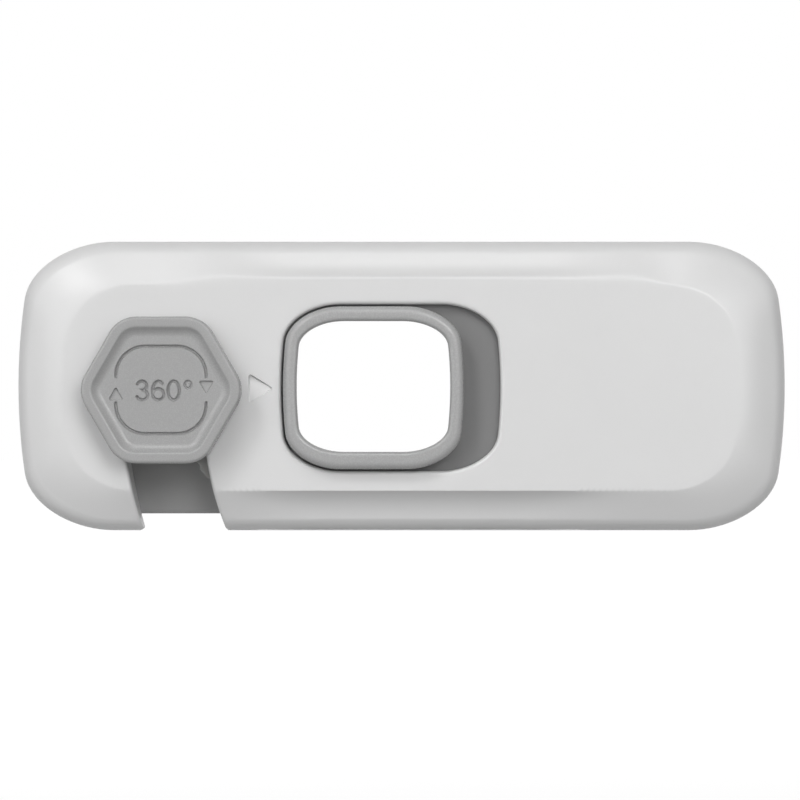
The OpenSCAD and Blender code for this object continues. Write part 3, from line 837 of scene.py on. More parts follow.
def spring_seats(x: Span, half: float, d: Span, peg_x: Span) -> list[Surface]:
    """Seats of both springs at one end: a rib across each axis, with a peg into the coils.

    Args:
        x: The ribs' sides along x.
        half: The ribs' half height.
        d: Depths of their backs and fronts.
        peg_x: The pegs' roots and tips.

    Returns:
        The surfaces.
    """
    found = []
    for y in (spring_y(-1), spring_y(1)):
        found += [rib(x, (y - half, y + half), d), peg(peg_x, y, SPRING_D, PEG_R)]
    return found


# The arm's housing


@dataclass
class FrontCover:
    """The upper shell: a bevelled plateau with the ring's slot, the notch and an engraved arrow."""

    crown_corner: Span = (9.0, 7.5)
    crown_bulge: float = 1.5
    edge_r: float = 3.8
    edge_turn: float = math.radians(60)
    start: float = math.radians(20)
    bevel: float = 4.71
    side_run: float = 4.2
    end_run: float = 6.1
    steepness: float = math.tan(math.radians(30))
    drop_y: float = 0.27
    # The bow of the plateau's upper edge: its height, where it rises and falls along x, from
    # where to where it rises along y, and its upper end with the width that it fades over
    bow: float = 1.17
    bow_x: tuple[Span, Span] = ((-71.0, -60.0), (1.0, 9.0))
    bow_y: Span = (4.0, 13.0)
    bow_top: Span = (21.2, 3.8)
    # The cove in the middle of the bevel, with its own slope and a lower foot on the lower side
    cove_x: tuple[Span, Span] = ((-64.0, -46.0), (-19.0, 4.5))
    cove_foot: float = 0.32
    cove_slope: float = 0.43
    lower_cove_slope: float = 0.24
    lower_drop: float = 0.7
    lower_v: Span = (6.0, 14.0)
    # The ends' own bevel and the rounding of the plateau's edge, by distance from the middle
    end_u: Span = (35.0, 42.0)
    end_v: Span = (5.5, 11.5)
    crest: Span = (0.05, 0.34)
    crest_u: Span = (33.0, 41.0)
    crest_v: Span = (0.0, 12.0)
    front_d: float = 14.5
    seam_d: float = 6.22
    wall: float = 1.6
    top_wall: float = 1.75
    slot_fillet: float = 0.6
    fillet: float = 0.55
    arrow: RoundPolygon = RoundPolygon(((-57.41, -1.67), (-54.5, 0.107), (-57.41, 1.885)), 0.38)
    arrow_depth: float = 0.1
    arrow_slope: float = 0.16
    # Levels of the plan's rings: up the rounded edge, at degrees of its 60, up the bevel, and past
    # 2 on the plateau
    levels: tuple[float, ...] = (
        *(turn / 60 for turn in (26, 32, 38, 44, 50, 56)), 1.0, 1.03, 1.08, 1.16, 1.26, 1.38, 1.5,
        1.62, 1.74, 1.83, 1.9, 1.95, 1.98, 2.02, 2.05, 2.09, 2.14, 2.22, 2.34)
    flat_level: float = 2.42
    # Level of the outer wall's inner side
    wall_level: float = 54.63 / 60
    boss_r: float = 2.9
    boss_d: float = 6.91
    # The screw bosses' front ends, at the left and at the right
    boss_front: Span = (13.3, 11.7)
    guide_x: Span = (-58.7, -12.7)
    guide_y: tuple[Span, Span] = ((14.4, 15.6), (-14.8, -13.6))
    guide_d: Span = (11.3, 13.3)

    @property
    def rise(self) -> float:
        """Height of the bevel."""
        return self.side_run * self.steepness

    @property
    def shoulder(self) -> float:
        """Depth at which the rounded edge starts to turn in."""
        return self.front_d - self.rise - self.edge_r * math.sin(self.edge_turn)

    def ring(self, p: Array) -> SoftOutline:
        """The housing's outline at a level: to 1 up the rounded edge, to 2 up the bevel."""
        a, t = self.edge_turn * np.minimum(p, 1), np.maximum(p - 1, 0)
        edge = self.edge_r * (1 - np.cos(a))
        end = edge + self.side_run * t + (self.end_run - self.side_run) * t ** 3
        return SoftOutline(HOUSING.half_l - end, HOUSING.half_h - edge - self.bevel * t,
                           mix(HOUSING.corner_l, self.crown_corner[0], t),
                           mix(HOUSING.corner_h, self.crown_corner[1], t),
                           mix(HOUSING.bulge, self.crown_bulge, t),
                           HOUSING.x, HOUSING.y - self.drop_y * t)

    def edge(self) -> SoftOutline:
        """The plan's border: the outline where the sheet gives way to the skirt."""
        return self.ring(np.float64(self.start / self.edge_turn))

    def lift(self, x: Array, y: Array) -> Array:
        """How far the plateau's upper edge is bowed up: fully in the middle, not at the ends."""
        top, fade = self.bow_top
        middle = self.bow * stretch_share(x, *self.bow_x)
        return middle * np.clip((top - y) / fade, 0, 1) * smooth_share(y, *self.bow_y)

    def around(self, p: float) -> Array:
        """Points round the housing at a level, moved by their lift, found over and over."""
        loop = self.ring(np.float64(p)).loop(18, 84, 16)
        y = loop[:, 1]
        for _ in range(25):
            y = loop[:, 1] + self.lift(loop[:, 0], y)
        return np.column_stack([loop[:, 0], y])

    def level(self, x: Array, y: Array) -> Array:
        """The level whose outline passes through each point, found by halving the span.

        Args:
            x: Places along x.
            y: Places along y.

        Returns:
            The level at each point.
        """
        y = y - self.lift(x, y)
        low, high = np.zeros_like(x), np.full_like(x, 2.5)
        for _ in range(30):
            middle = (low + high) / 2
            inside = self.ring(middle).level(x, y) < 0
            low, high = np.where(inside, middle, low), np.where(inside, high, middle)
        return (low + high) / 2

    def crown(self, x: Array, y: Array) -> Array:
        """Depth of the bare skin over the plan.

        Up the rounded edge it is the sine of the turn. Up the bevel it is a slope along the sides
        and a cubic that ends level at the ends. In the middle of the sides it is a cove: a slope
        plus a power of e, steep below the plateau, and on the lower side steeper still and with
        its foot lower. The plateau cuts it off, with a rounded meeting.

        Args:
            x: Places along x.
            y: Places along y.

        Returns:
            The depth at each point.
        """
        p = self.level(x, y)
        edge = self.shoulder + self.edge_r * np.sin(self.edge_turn * np.minimum(p, 1))
        t = np.maximum(p - 1, 0)
        middle = stretch_share(x, *self.cove_x)
        v, u = y - HOUSING.y, np.abs(x - HOUSING.x)
        below = smooth_share(-v, *self.lower_v)
        cove_slope = mix(self.cove_slope, self.lower_cove_slope, below)
        foot = np.exp(np.minimum((t - 1) / self.cove_foot, 1.0))
        full = (1 - cove_slope) / (1 - math.exp(-1 / self.cove_foot))
        coved = 1 - cove_slope * (1 - t) - full * (1 - foot)
        straight = self.rise * mix(t, coved, middle)
        run = self.side_run * t + (self.end_run - self.side_run) * t ** 3
        s = np.clip(run / self.end_run, 0, 1)
        slope = self.steepness * self.end_run
        eased = slope * (s ** 3 - 2 * s ** 2 + s) + self.rise * (3 * s ** 2 - 2 * s ** 3)
        at_end = (1 - smooth_share(np.abs(v), *self.end_v)) * smooth_share(u, *self.end_u)
        up = mix(straight, np.where(t >= 1, straight, eased), at_end)
        upper = smooth_share(v, *self.crest_v) * (1 - smooth_share(u, *self.crest_u))
        soft = mix(*self.crest, upper)
        near = np.maximum(soft - np.abs(up - self.rise), 0) / soft
        capped = np.minimum(up, self.rise) - near ** 2 * soft / 4
        drop = self.lower_drop * middle * below * (1 - np.minimum(t, 1))
        return np.where(p < 1, edge, self.front_d - self.rise + capped) - drop

    def outer(self, x: Array, y: Array) -> Array:
        """Depth of the finished skin: the crown less its fillets and the arrow's pocket."""
        cut = (rounding(SLOT.outside(x, y), self.slot_fillet)
               + rounding(NOTCH.outside(x, y), self.fillet))
        low = min(corner[1] for corner in self.arrow.core) - self.arrow.radius
        pocket = self.arrow_depth + self.arrow_slope * (y - low)
        return self.crown(x, y) - cut - pocket * smooth_share(-self.arrow.outside(x, y), 0.0, 0.2)

    def outward(self, x: Array, y: Array) -> Array:
        """Shift of border points for one mm of rounding: both ways at the corners."""
        cx, cy = self.edge().core()
        return np.column_stack([np.clip((x - HOUSING.x) / cx, -1, 1),
                                np.clip((y - HOUSING.y) / cy, -1, 1)])

    def loose_points(self) -> Array:
        """The plan's loose points: rings where the skin turns, a wide lattice on the plateau."""
        parts = [NOTCH.opened(self.around(p), self.fillet + 0.15) for p in self.levels]
        for fine in (0.45, 0.95, 1.45):
            parts += [SLOT.drawn_in(-self.slot_fillet - fine).loop(12, 20, 8),
                      NOTCH.line(self.fillet + fine, -18.0)]
        flat = square_lattice((-88, 24), (-16, 17), 2.1)
        found = np.vstack([*parts, flat[self.level(*flat.T) > self.flat_level]])
        slot, notch = SLOT.outside(*found.T), NOTCH.outside(*found.T)
        near = (slot < self.slot_fillet + 0.1) | (notch < self.fillet + 0.1)
        near |= np.abs(self.arrow.outside(*found.T)) < 0.4
        return found[~(near | (np.abs(notch - self.wall) < 0.1))]

    def solid(self, x: Array, y: Array) -> Array:
        """Whether places lie within the border and outside the slot and the notch."""
        return ((self.edge().level(x, y) < 0) & (SLOT.outside(x, y) > 0)
                & (NOTCH.outside(x, y) > 0))

    def sheet(self) -> PlanSheet:
        """Cuts the plan along its border, walls, fillets and arrow."""
        edge = self.edge()
        foot_y = HOUSING.y - edge.half_h
        chains = [(NOTCH.border(edge.loop(18, 168, 16), foot_y, 0.45), True),
                  (NOTCH.opened(self.around(2.0), self.fillet + 0.1), False),
                  (NOTCH.opened(self.around(self.wall_level), self.fillet + 0.1), False),
                  (NOTCH.line(self.wall, foot_y + 0.3), False)]
        for turn in (0, 22.5, 45, 67.5, 90):
            share = 1 - math.cos(math.radians(turn))
            chains.append((SLOT.drawn_in(-self.slot_fillet * share).loop(16, 24, 16), True))
            if turn:
                chains.append((NOTCH.line(self.fillet * share, foot_y + 0.12), False))
        chains += [(self.arrow.loop(offset), True)
                   for offset in (0.05, 0.0, -0.05, -0.1, -0.15, -0.2, -0.26)]
        return PlanSheet.cut(self.loose_points(), chains, self.solid)

    def skin(self) -> Surface:
        """The shell itself: its plan sheet, raised, hollowed and closed round its walls."""
        sheet = self.sheet()
        x, y = sheet.points.T
        front = self.outer(x, y)
        back = np.minimum(self.crown(x, y), self.front_d) - self.top_wall
        mx, my = sheet.middles()
        wall = ((self.level(mx, my) < self.wall_level - 0.0005)
                | (NOTCH.outside(mx, my) < self.wall - 0.01))
        first = 1 - math.cos(self.start)
        turns = [(self.edge_r * (first - (1 - math.cos(turn))),
                  self.shoulder + self.edge_r * math.sin(turn))
                 for turn in np.radians([15, 10, 5, 0])]
        share = smooth_share(NOTCH.outside(x, y), *NOTCH_FADE)
        skirt = skirt_rows(sheet, self.outward(x, y), share, front, turns, self.edge_r * first,
                           self.seam_d)
        return thick_sheet(sheet, front, back, wall, self.seam_d, skirt)

    def build(self) -> None:
        """Makes the cover with its screw bosses and the ribs that guide the slider."""
        bosses = [tube(place, SCREW_HOLE, self.boss_r, (self.boss_d, self.boss_front[place[0] > 0]))
                  for place in SCREW_PLACES]
        guides = [rib(self.guide_x, y, self.guide_d) for y in self.guide_y]
        make_piece("front_cover_skin", self.skin().joined(*bosses, *guides), "arm",
                   Finishes.SHELL, ("front_cover",))


@dataclass
class RearCover:
    """The lower shell: a flat rear face with round edges and holes, rails and stops inside."""

    rear_d: float = 3.9
    floor_d: float = 5.7
    seam_d: float = 6.2
    wall: float = 1.6
    edge_r: float = 1.0
    fillet: float = 0.3
    start: float = math.radians(30)
    bush_hole: float = 7.02
    head_hole: float = 2.22
    lip_inset: float = 1.62
    lip_wall: float = 1.0
    lip_clear: float = 1.64
    lip_d: Span = (5.0, 7.165)
    boss_hole: float = 5.27
    boss_r: float = 7.27
    boss_d: Span = (4.37, 8.68)
    pillar_r: float = 3.02
    pillar_d: Span = (5.29, 6.89)
    rail_x: Span = (-52.4, -12.7)
    rail_y: tuple[Span, Span] = ((13.6, 14.8), (-14.1, -12.9))
    rail_d: Span = (4.8, 10.95)
    stop_x: Span = (-62.43, -60.03)
    stop_y: tuple[Span, Span] = ((-6.2, -5.0), (-15.6, -14.4))
    stop_d: Span = (4.8, 9.48)

    def holes(self, x: Array, y: Array) -> Array:
        """Distance outside the nearest opening: slot, notch, bush hole or a screw head's hole.

        Args:
            x: Places along x.
            y: Places along y.

        Returns:
            The distance for each point, in mm.
        """
        found = np.minimum(SLOT.outside(x, y), REAR_NOTCH.outside(x, y))
        found = np.minimum(found, np.hypot(x, y) - self.bush_hole)
        for px, py in SCREW_PLACES:
            found = np.minimum(found, np.hypot(x - px, y - py) - self.head_hole)
        return found

    def around(self, inset: float) -> Array:
        """Points round the housing at an inset, opened at the notch."""
        return REAR_NOTCH.opened(HOUSING.drawn_in(inset).loop(14, 84, 12), self.fillet + 0.1)

    def edge(self) -> SoftOutline:
        """The plan's border: the outline where the sheet gives way to the skirt."""
        return HOUSING.drawn_in(self.edge_r * (1 - math.cos(self.start)))

    def sheet(self) -> PlanSheet:
        """Cuts the plan along its border, walls and holes."""
        edge = self.edge()
        foot_y = edge.y - edge.half_h
        flat = square_lattice((-92, 26), (-21, 22), 2.3)
        flat = flat[HOUSING.drawn_in(3.2).level(*flat.T) < 0]
        loose = np.vstack([*map(self.around, (0.25, 0.4, 0.6, 0.8, 1.0, 1.25, 2.4)), flat])
        loose = loose[self.holes(*loose.T) > self.fillet + 0.12]
        chains = [(REAR_NOTCH.border(edge.loop(14, 168, 12), foot_y, 0.4), True),
                  (self.around(self.wall), False),
                  (REAR_NOTCH.line(self.wall, foot_y + 0.3), False)]
        for turn in (0, 45, 90):
            offset = self.fillet * (1 - math.cos(math.radians(turn)))
            chains.append((SLOT.drawn_in(-offset).loop(12, 20, 12), True))
            chains.append((round_loop(0, 0, self.bush_hole + offset, 64), True))
            chains += [(round_loop(*place, self.head_hole + offset, 32), True)
                       for place in SCREW_PLACES]
            if turn:
                chains.append((REAR_NOTCH.line(offset, foot_y + 0.12), False))
        return PlanSheet.cut(loose, chains,
                             lambda x, y: (edge.level(x, y) < 0) & (self.holes(x, y) > 0))

    def skin(self) -> Surface:
        """The floor with its rim, built facing back: depth runs towards the door, then mirrored."""
        sheet, edge = self.sheet(), self.edge()
        x, y = sheet.points.T
        front = (-self.rear_d - rounding(-HOUSING.outside(x, y), self.edge_r)
                 - rounding(self.holes(x, y), self.fillet))
        mx, my = sheet.middles()
        wall = ((-HOUSING.outside(mx, my) < self.wall)
                | (REAR_NOTCH.outside(mx, my) < self.wall - 0.01))
        q = np.column_stack(edge.shares(x, y))
        out = q / np.maximum(np.hypot(*q.T), 1e-6)[:, None]
        out = out * np.sign(sheet.points - [edge.x, edge.y])
        first = self.edge_r * (1 - math.cos(self.start))
        turns = [(first - self.edge_r * (1 - math.cos(turn)),
                  -self.rear_d - self.edge_r * (1 - math.sin(turn)))
                 for turn in np.radians([20, 10, 0])]
        share = smooth_share(REAR_NOTCH.outside(x, y), *NOTCH_FADE)
        skirt = skirt_rows(sheet, out, share, front, turns, first, -self.seam_d)
        back = np.full(x.size, -self.floor_d)
        return thick_sheet(sheet, front, back, wall, -self.seam_d, skirt).facing_back()

    def lip(self) -> Surface:
        """The lip that locates the front cover, all round but open at the notch."""
        outer = HOUSING.drawn_in(self.lip_inset)
        inner = outer.drawn_in(self.lip_wall)
        above = outer.y - outer.half_h + 3

        def solid(x: Array, y: Array) -> Array:
            """Whether places lie on the lip."""
            clear = (REAR_NOTCH.outside(x, y) > self.lip_clear) | (y > above)
            return (outer.level(x, y) < 0) & (inner.level(x, y) > 0) & clear

        out, back = (REAR_NOTCH.opened(o.loop(10, 60, 8), self.lip_clear) for o in (outer, inner))
        sheet = PlanSheet.cut(np.zeros((0, 2)), [(np.vstack([out, back[::-1]]), True)], solid)
        low, high = (np.full(len(sheet.points), d) for d in self.lip_d)
        nothing = np.zeros(len(sheet.triangles), bool)
        return thick_sheet(sheet, high, low, nothing, low[0], [])

    def build(self) -> None:
        """Makes the cover with its lip, pivot boss, screw pillars, rails and stops."""
        pillars = [tube(place, SCREW_HOLE, self.pillar_r, self.pillar_d)
                   for place in SCREW_PLACES]
        rails = [rib(self.rail_x, y, self.rail_d) for y in self.rail_y]
        stops = [rib(self.stop_x, y, self.stop_d) for y in self.stop_y]
        seats = spring_seats(x=(-5.6, -4.4), half=2.7, d=(4.8, 11.0), peg_x=(-5.0, -7.6))
        boss = tube((0, 0), self.boss_hole, self.boss_r, self.boss_d)
        make_piece("rear_cover_shell",
                   self.skin().joined(self.lip(), boss, *pillars, *rails, *stops, *seats),
                   "arm", Finishes.SHELL, ("rear_cover",))


# The ring slider


@dataclass
class RingSlider:
    """The finger ring, its flange under the cover and the lugs that the springs push on."""

    ring: SoftOutline = SoftOutline(14.0, 12.6, 7.8, 5.6, 1.15, -38.36, 0.2)
    window: SoftOutline = SoftOutline(11.87, 10.1, 6.5, 3.8, 0.85, -38.36, 0.4)
    flange: SoftOutline = SoftOutline(20.4, 13.7, 2.3, 2.3, 0.0, -38.3, 0.4)
    flange_d: Span = (11.0, 12.64)
    rear_d: float = 4.2
    rim_d: float = 16.9
    rim_r: float = 1.1
    window_r: float = 0.68
    foot: float = 0.3
    draft: float = 0.3

    def profile(self, *steps: tuple[SoftOutline, float, float]) -> Surface:
        """Carries a closed profile round: outlines, each with its inset and its depth."""
        return loft([(outline.drawn_in(inset).loop(16, 12, 12), d) for outline, inset, d in steps],
                    ring=True)

    def ring_surface(self) -> Surface:
        """The ring: up its outside, over a rounded rim and down the window's drafted wall."""
        out, rear, draft = self.foot, self.rear_d, self.draft
        rim = [(self.ring, run, self.rim_d - fall) for run, fall in quarter(self.rim_r, 0, 90, 7)]
        rim += [(self.window, -run, self.rim_d - fall)
                for run, fall in quarter(self.window_r, 90, 0, 7)]
        return self.profile((self.ring, out, rear), (self.ring, 0.0, rear + out), *rim,
                            (self.window, -draft, rear + out), (self.window, -draft - out, rear))

    def flange_surface(self) -> Surface:
        """The flange: from inside the ring's wall out to a soft rectangle with bevelled edges."""
        low, high = self.flange_d
        edge, root = 0.2, 1.0
        return self.profile((self.ring, root, low), (self.flange, edge, low),
                            (self.flange, 0.0, low + edge), (self.flange, 0.0, high - edge),
                            (self.flange, edge, high), (self.ring, root, high))

    def build(self) -> None:
        """Makes the ring, and the flange with its lugs and pegs."""
        make_piece("finger_ring", self.ring_surface(), "ring_slider",
                   Finishes.GREY, ("slider",))
        lugs = spring_seats(x=(-19.4, -17.9), half=2.1, d=(6.25, 11.8), peg_x=(-18.65, -15.9))
        # The flange's colour is darker than the ring's as painted shade where it shows as the slot
        # floor
        make_piece("slide_flange", self.flange_surface().joined(*lugs), "ring_slider",
                   Finishes.FLOOR_PAINTED_SHADE)


@dataclass
class ReturnSpring:
    """A compression spring: a round wire carried along a helix."""

    side: int
    radius: float = 1.85
    wire: float = 0.5
    length: float = 12.3
    curls: int = 10
    start_x: float = -17.9
    stroke: float = 5.2
    play: float = 0.02

    def surface(self) -> Surface:
        """The wire: centreline plus its radius times cosine, outwards, and sine, along the rise."""
        turn = (self.length - 2 * self.play - self.wire) / self.curls
        climb = math.atan(turn / (2 * math.pi * self.radius))
        a = np.linspace(0, 2 * np.pi * self.curls, self.curls * 20 + 1)[:, None]
        b = np.linspace(0, 2 * np.pi, 10, endpoint=False)[None]
        cos_a, sin_a, cos_b, sin_b = np.cos(a), np.sin(a), np.cos(b), np.sin(b)
        r, z = self.wire / 2, turn * a / (2 * np.pi)
        tilt = math.sin(climb)
        lx = self.radius * cos_a + r * (cos_b * cos_a + sin_b * sin_a * tilt)
        ly = self.radius * sin_a + r * (cos_b * sin_a - sin_b * cos_a * tilt)
        lz = z + r * sin_b * math.cos(climb)
        x0 = self.start_x + self.play + self.wire / 2
        return grid(np.stack([x0 + lz, spring_y(self.side) + ly, SPRING_D - lx], -1), turned=True)

    def build(self) -> None:
        """Makes the spring."""
        word = "upper" if self.side > 0 else "lower"
        spring = make_piece(f"spring_wire_{word}", self.surface(), "arm",
                            Finishes.WIRE, (f"return_spring_{word}",), sharp=60)
        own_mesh(spring)


# The knob


@dataclass(frozen=True)
class Stroke:
    """One engraved line of the knob's marks."""

    points: Array
    half: float = 0.28
    floor: float = 0.04
    depth: float = 0.5

    def loose_points(self) -> Array:
        """Points along the line at several offsets to each side, and round its ends."""
        line = along(self.points, 0.14)
        run = np.gradient(line, axis=0)
        normal = np.column_stack([-run[:, 1], run[:, 0]]) / np.hypot(*run.T)[:, None]
        out = np.array([self.floor / 2, self.floor, (self.floor + self.half) / 2, self.half,
                        1.35 * self.half])
        offsets = np.concatenate([-out[::-1], [0.0], out])
        sides = (line[None] + offsets[:, None, None] * normal[None]).reshape(-1, 2)
        caps = [round_loop(*end, r, 12) for end in (line[0], line[-1]) for r in out[1:]]
        return np.vstack([sides, *caps])

    def outside(self, p: Array) -> Array:
        """Distance from points to the line, less its half width."""
        line = along(self.points, 0.3)
        return line_distance(p, line[:-1], line[1:]) - self.half

    def drop(self, p: Array) -> Array:
        """How deep the line is cut at points: full within its floor, and smooth up to its edge."""
        return self.depth * smooth_share(-self.outside(p), 0.0, self.half - self.floor)


@dataclass
class Knob:
    """The hex knob: a rounded hexagon with a dish, marked with a full turn between two arrows."""

    x: float = -71.05
    y: float = -0.15
    across: float = 22.6
    corner: float = 4.8
    low_d: float = 15.0
    top_d: float = 19.7
    edge_r: float = 0.5
    dish: float = 1.02
    # Radius and depth from the pilot hole's bottom, down and out over the stem, to the underside
    stem: tuple[Span, ...] = ((0.4, 14.7), (1.52, 14.7), (1.52, 3.62), (1.7, 3.42), (3.1, 3.42),
                              (3.4, 3.72), (3.4, 14.7), (3.7, 15.0))
    # Insets of the rings down the dish's slope, past its start
    slope: tuple[float, ...] = (-0.4, -0.25, -0.15, -0.07, 0, 0.07, 0.15, 0.26, 0.42, 0.6, 0.8,
                                1.0, 1.2, 1.36, 1.46, 1.52)
    slope_start: float = 1.6
    slope_width: float = 1.5
    floor_inset: float = 3.12
    pocket_depth: float = 0.42
    pockets: tuple[RoundPolygon, ...] = (
        RoundPolygon(((-7.78, -1.35), (-6.16, -1.35), (-6.97, 0.12)), 0.26),
        RoundPolygon(((6.15, 1.2), (6.97, -0.2), (7.79, 1.2)), 0.26))
    strokes: list[Stroke] = field(default_factory=list)

    def __post_init__(self) -> None:
        """Lays out the marks: the figure 360, its degree ring and a broken loop round them."""
        side, top, r, gap = 6.95, 6.73, 4.5, 2.0
        for s in (1, -1):
            loop = [[[side, s * gap]], arc(side - r, s * (top - r), r, r, 0, s * 90, 24),
                    arc(-side + r, s * (top - r), r, r, s * 90, s * 180, 24), [[-side, s * gap]]]
            self.strokes.append(Stroke(np.vstack(loop)))
        three = [arc(-2.93, 0.66, 0.74, 0.7, 160, -88, 18),
                 arc(-2.9, -0.78, 0.85, 0.74, 88, -160, 20)]
        six = [arc(-0.4, -0.1, 0.9, 1.45, 48, 180, 18),
               arc(-0.43, -0.66, 0.87, 0.86, 180, 540, 28)]
        nought = [arc(1.95, -0.08, 0.87, 1.45, 90, 450, 36)]
        self.strokes += [Stroke(np.vstack(parts)) for parts in (three, six, nought)]
        degree = arc(4.15, 0.83, 0.5, 0.56, 90, 450, 20)
        self.strokes.append(Stroke(degree, half=0.22, depth=0.36))

    def hexagon(self, inset: float, steps: int = 10, side_n: int = 6) -> Array:
        """The outline drawn in by an inset: six round corners and straight flats between them.

        Args:
            inset: How far it is drawn in.
            steps: Steps in each corner.
            side_n: Steps along each flat.

        Returns:
            The points, anticlockwise, one a row.
        """
        centre = (self.across / 2 - self.corner) / math.cos(math.radians(30))
        k = np.arange(6)[:, None] * np.pi / 3
        a = k + np.radians(np.linspace(-30, 30, steps + 1))[None]
        r = self.corner - inset
        corners = np.stack([centre * np.cos(k) + r * np.cos(a),
                            centre * np.sin(k) + r * np.sin(a)], -1)
        share = np.linspace(0, 1, side_n + 1)[1:-1][None, :, None]
        flats = corners[:, -1:] * (1 - share) + np.roll(corners[:, :1], -1, 0) * share
        return np.concatenate([corners, flats], 1).reshape(-1, 2)

    def edge_distance(self, p: Array) -> Array:
        """Distance of points inside the flats: half the width less the farthest of six ways."""
        a = np.radians(np.arange(6) * 60 + 30)
        return self.across / 2 - (p @ np.stack([np.cos(a), np.sin(a)])).max(1)

    def floor(self) -> Surface:
        """The dish's floor with its marks cut in, out to the foot of the slope."""
        inset = self.floor_inset
        wide = square_lattice((-9, 9.1), (-8, 8.1), 0.55)
        distance = np.min([*(s.outside(wide) for s in self.strokes),
                           *(p.outside(*wide.T) for p in self.pockets)], axis=0)
        wide = wide[(distance > 0.2) & (self.edge_distance(wide) > inset + 0.3)]
        close = [s.loose_points() for s in self.strokes]
        chains = [(self.hexagon(inset), True)]
        for pocket in self.pockets:
            chains += [(pocket.loop(offset, 6), True)
                       for offset in (0.08, 0.0, -0.04, -0.08, -0.12, -0.16, -0.22)]
        # The margin leaves out slivers between points that lie on one line of the rim
        sheet = PlanSheet.cut(
            np.vstack([wide, *close, self.hexagon(inset + 0.2)]), chains,
            lambda x, y: self.edge_distance(np.column_stack([x, y])) > inset + 0.002)
        p = sheet.points
        drop = np.max([*(s.drop(p) for s in self.strokes),
                       *(self.pocket_depth * smooth_share(-pocket.outside(*p.T), 0.0, 0.16)
                         for pocket in self.pockets)], axis=0)
        return Surface(np.column_stack([p, self.top_d - self.dish - drop]), [sheet.triangles])

    def surface(self) -> Surface:
        """The whole knob: stem, underside, sides, rim, slope and floor, as one profile.

        The slope falls by the dish times one minus the square of one minus its share, so it is
        steep below the rim and runs out into the floor. Half the sum of the share and its length
        with a small number rounds the rim's inner edge.

        Returns:
            The closed surface.
        """
        rim = self.hexagon(0.0)
        loops = [(circle_like(rim, r), d) for r, d in self.stem]
        loops += [(self.hexagon(run), self.low_d + fall)
                  for run, fall in quarter(self.edge_r, 90, 0, 5)]
        loops += [(self.hexagon(run), self.top_d - fall)
                  for run, fall in quarter(self.edge_r, 0, 90, 8)]
        for past in self.slope:
            share = past / self.slope_width
            share = min((share + math.hypot(share, 0.09)) / 2, 1.0)
            loops.append((self.hexagon(self.slope_start + past),
                          self.top_d - self.dish * (1 - (1 - share) ** 2)))
        body = loft(loops)
        body.faces.pop()
        whole = body.joined(self.floor())
        return Surface(whole.points + [self.x, self.y, 0.0], whole.faces)

    def build(self) -> None:
        """Makes the knob in place of its CAD node."""
        make_piece("hex_knob_head", self.surface(), "hex_knob", Finishes.KNOB,
                   ("knob",), sharp=50)


# The bases


@dataclass
class Base:
    """A stuck-on base: a soft plate with a round stud, bored through, on a pad of adhesive foam."""

    word: str
    x: float
    half: Span
    stud_r: float
    stud_d: float
    bore: tuple[Span, ...]
    pad_d: float = 1.0
    plate_d: float = 3.5
    edge_r: float = 0.8
    root_r: float = 0.25

    def loop(self, inset: float, margin: float = 0.0, corner: float = 11.0) -> Array:
        """Points round the plate, or round the pad, which is smaller by a margin, at an inset.

        Args:
            inset: How far the points are drawn in.
            margin: How much smaller the outline is all round.
            corner: Radius of its corners.

        Returns:
            The points, anticlockwise, one a row.
        """
        outline = SoftOutline(self.half[0] - margin, self.half[1] - margin, corner, corner, 0.0,
                              self.x, 0.0)
        return outline.drawn_in(inset).loop(12, 6, 6)

    def plate(self) -> Surface:
        """One profile carried round: back, side, round front edge, stud with its root, and bore."""
        chamfer, tip, rim = 0.15, 0.2, self.loop(0.0)
        flat = [(chamfer, self.pad_d), (0.0, self.pad_d + chamfer)]
        flat += [(run, self.plate_d - fall) for run, fall in quarter(self.edge_r, 0, 90, 6)]
        stud = [(self.stud_r + run, self.plate_d + fall)
                for run, fall in quarter(self.root_r, 90, 0, 5)]
        stud += [(self.stud_r, self.stud_d - tip), (self.stud_r - tip, self.stud_d)]
        rings = [(circle_like(rim, r, self.x), d)
                 for r, d in [(self.bore[0][0], self.pad_d), *stud, *reversed(self.bore)]]
        plate = [(self.loop(inset), d) for inset, d in flat]
        return loft([rings[0], *plate, *rings[1:]], ring=True)

    def build_plate(self) -> None:
        """Makes the base in place of its CAD node."""
        make_piece(f"{self.word}_base_plate", self.plate(), "bases",
                   Finishes.BASE, (f"{self.word}_base",))

    def build_pad(self) -> None:
        """Makes the pad, whose side bows out a little under its load, as half a sine wave."""
        side = [(0.1 - 0.12 * math.sin(math.pi * share), share) for share in np.linspace(0, 1, 7)]
        surface = loft([(self.loop(inset, margin=0.62, corner=10.4), d)
                        for inset, d in [(2.0, 0.0), *side, (2.0, self.pad_d)]])
        pad = make_piece(f"{self.word}_foam", surface, "bases", Finishes.FOAM,
                         (f"{self.word}_pad",))


# The studio


@dataclass(frozen=True)
class Softbox:
    """A round softbox 2 m away, at angles in degrees above the level and right of the camera."""

    name: str
    rise: float
    turn: float
    size: float
    power: float
    distance: float = 2.0

    def build(self, target: Vector) -> None:
        """Hangs the softbox so that it faces a target, in the direction of its two angles.

        Args:
            target: The place that it lights.
        """
        lamp = bpy.data.lights.new(self.name, "AREA")
        lamp.energy, lamp.shape, lamp.size = self.power, "DISK", self.size
        softbox = add_object(self.name, lamp)
        rise, turn = math.radians(self.rise), math.radians(self.turn)
        way = Vector((math.sin(turn) * math.cos(rise), -math.cos(turn) * math.cos(rise),
                      math.sin(rise)))
        softbox.location = target + way * self.distance
        softbox.rotation_euler = (-way).to_track_quat("-Z", "Y").to_euler()


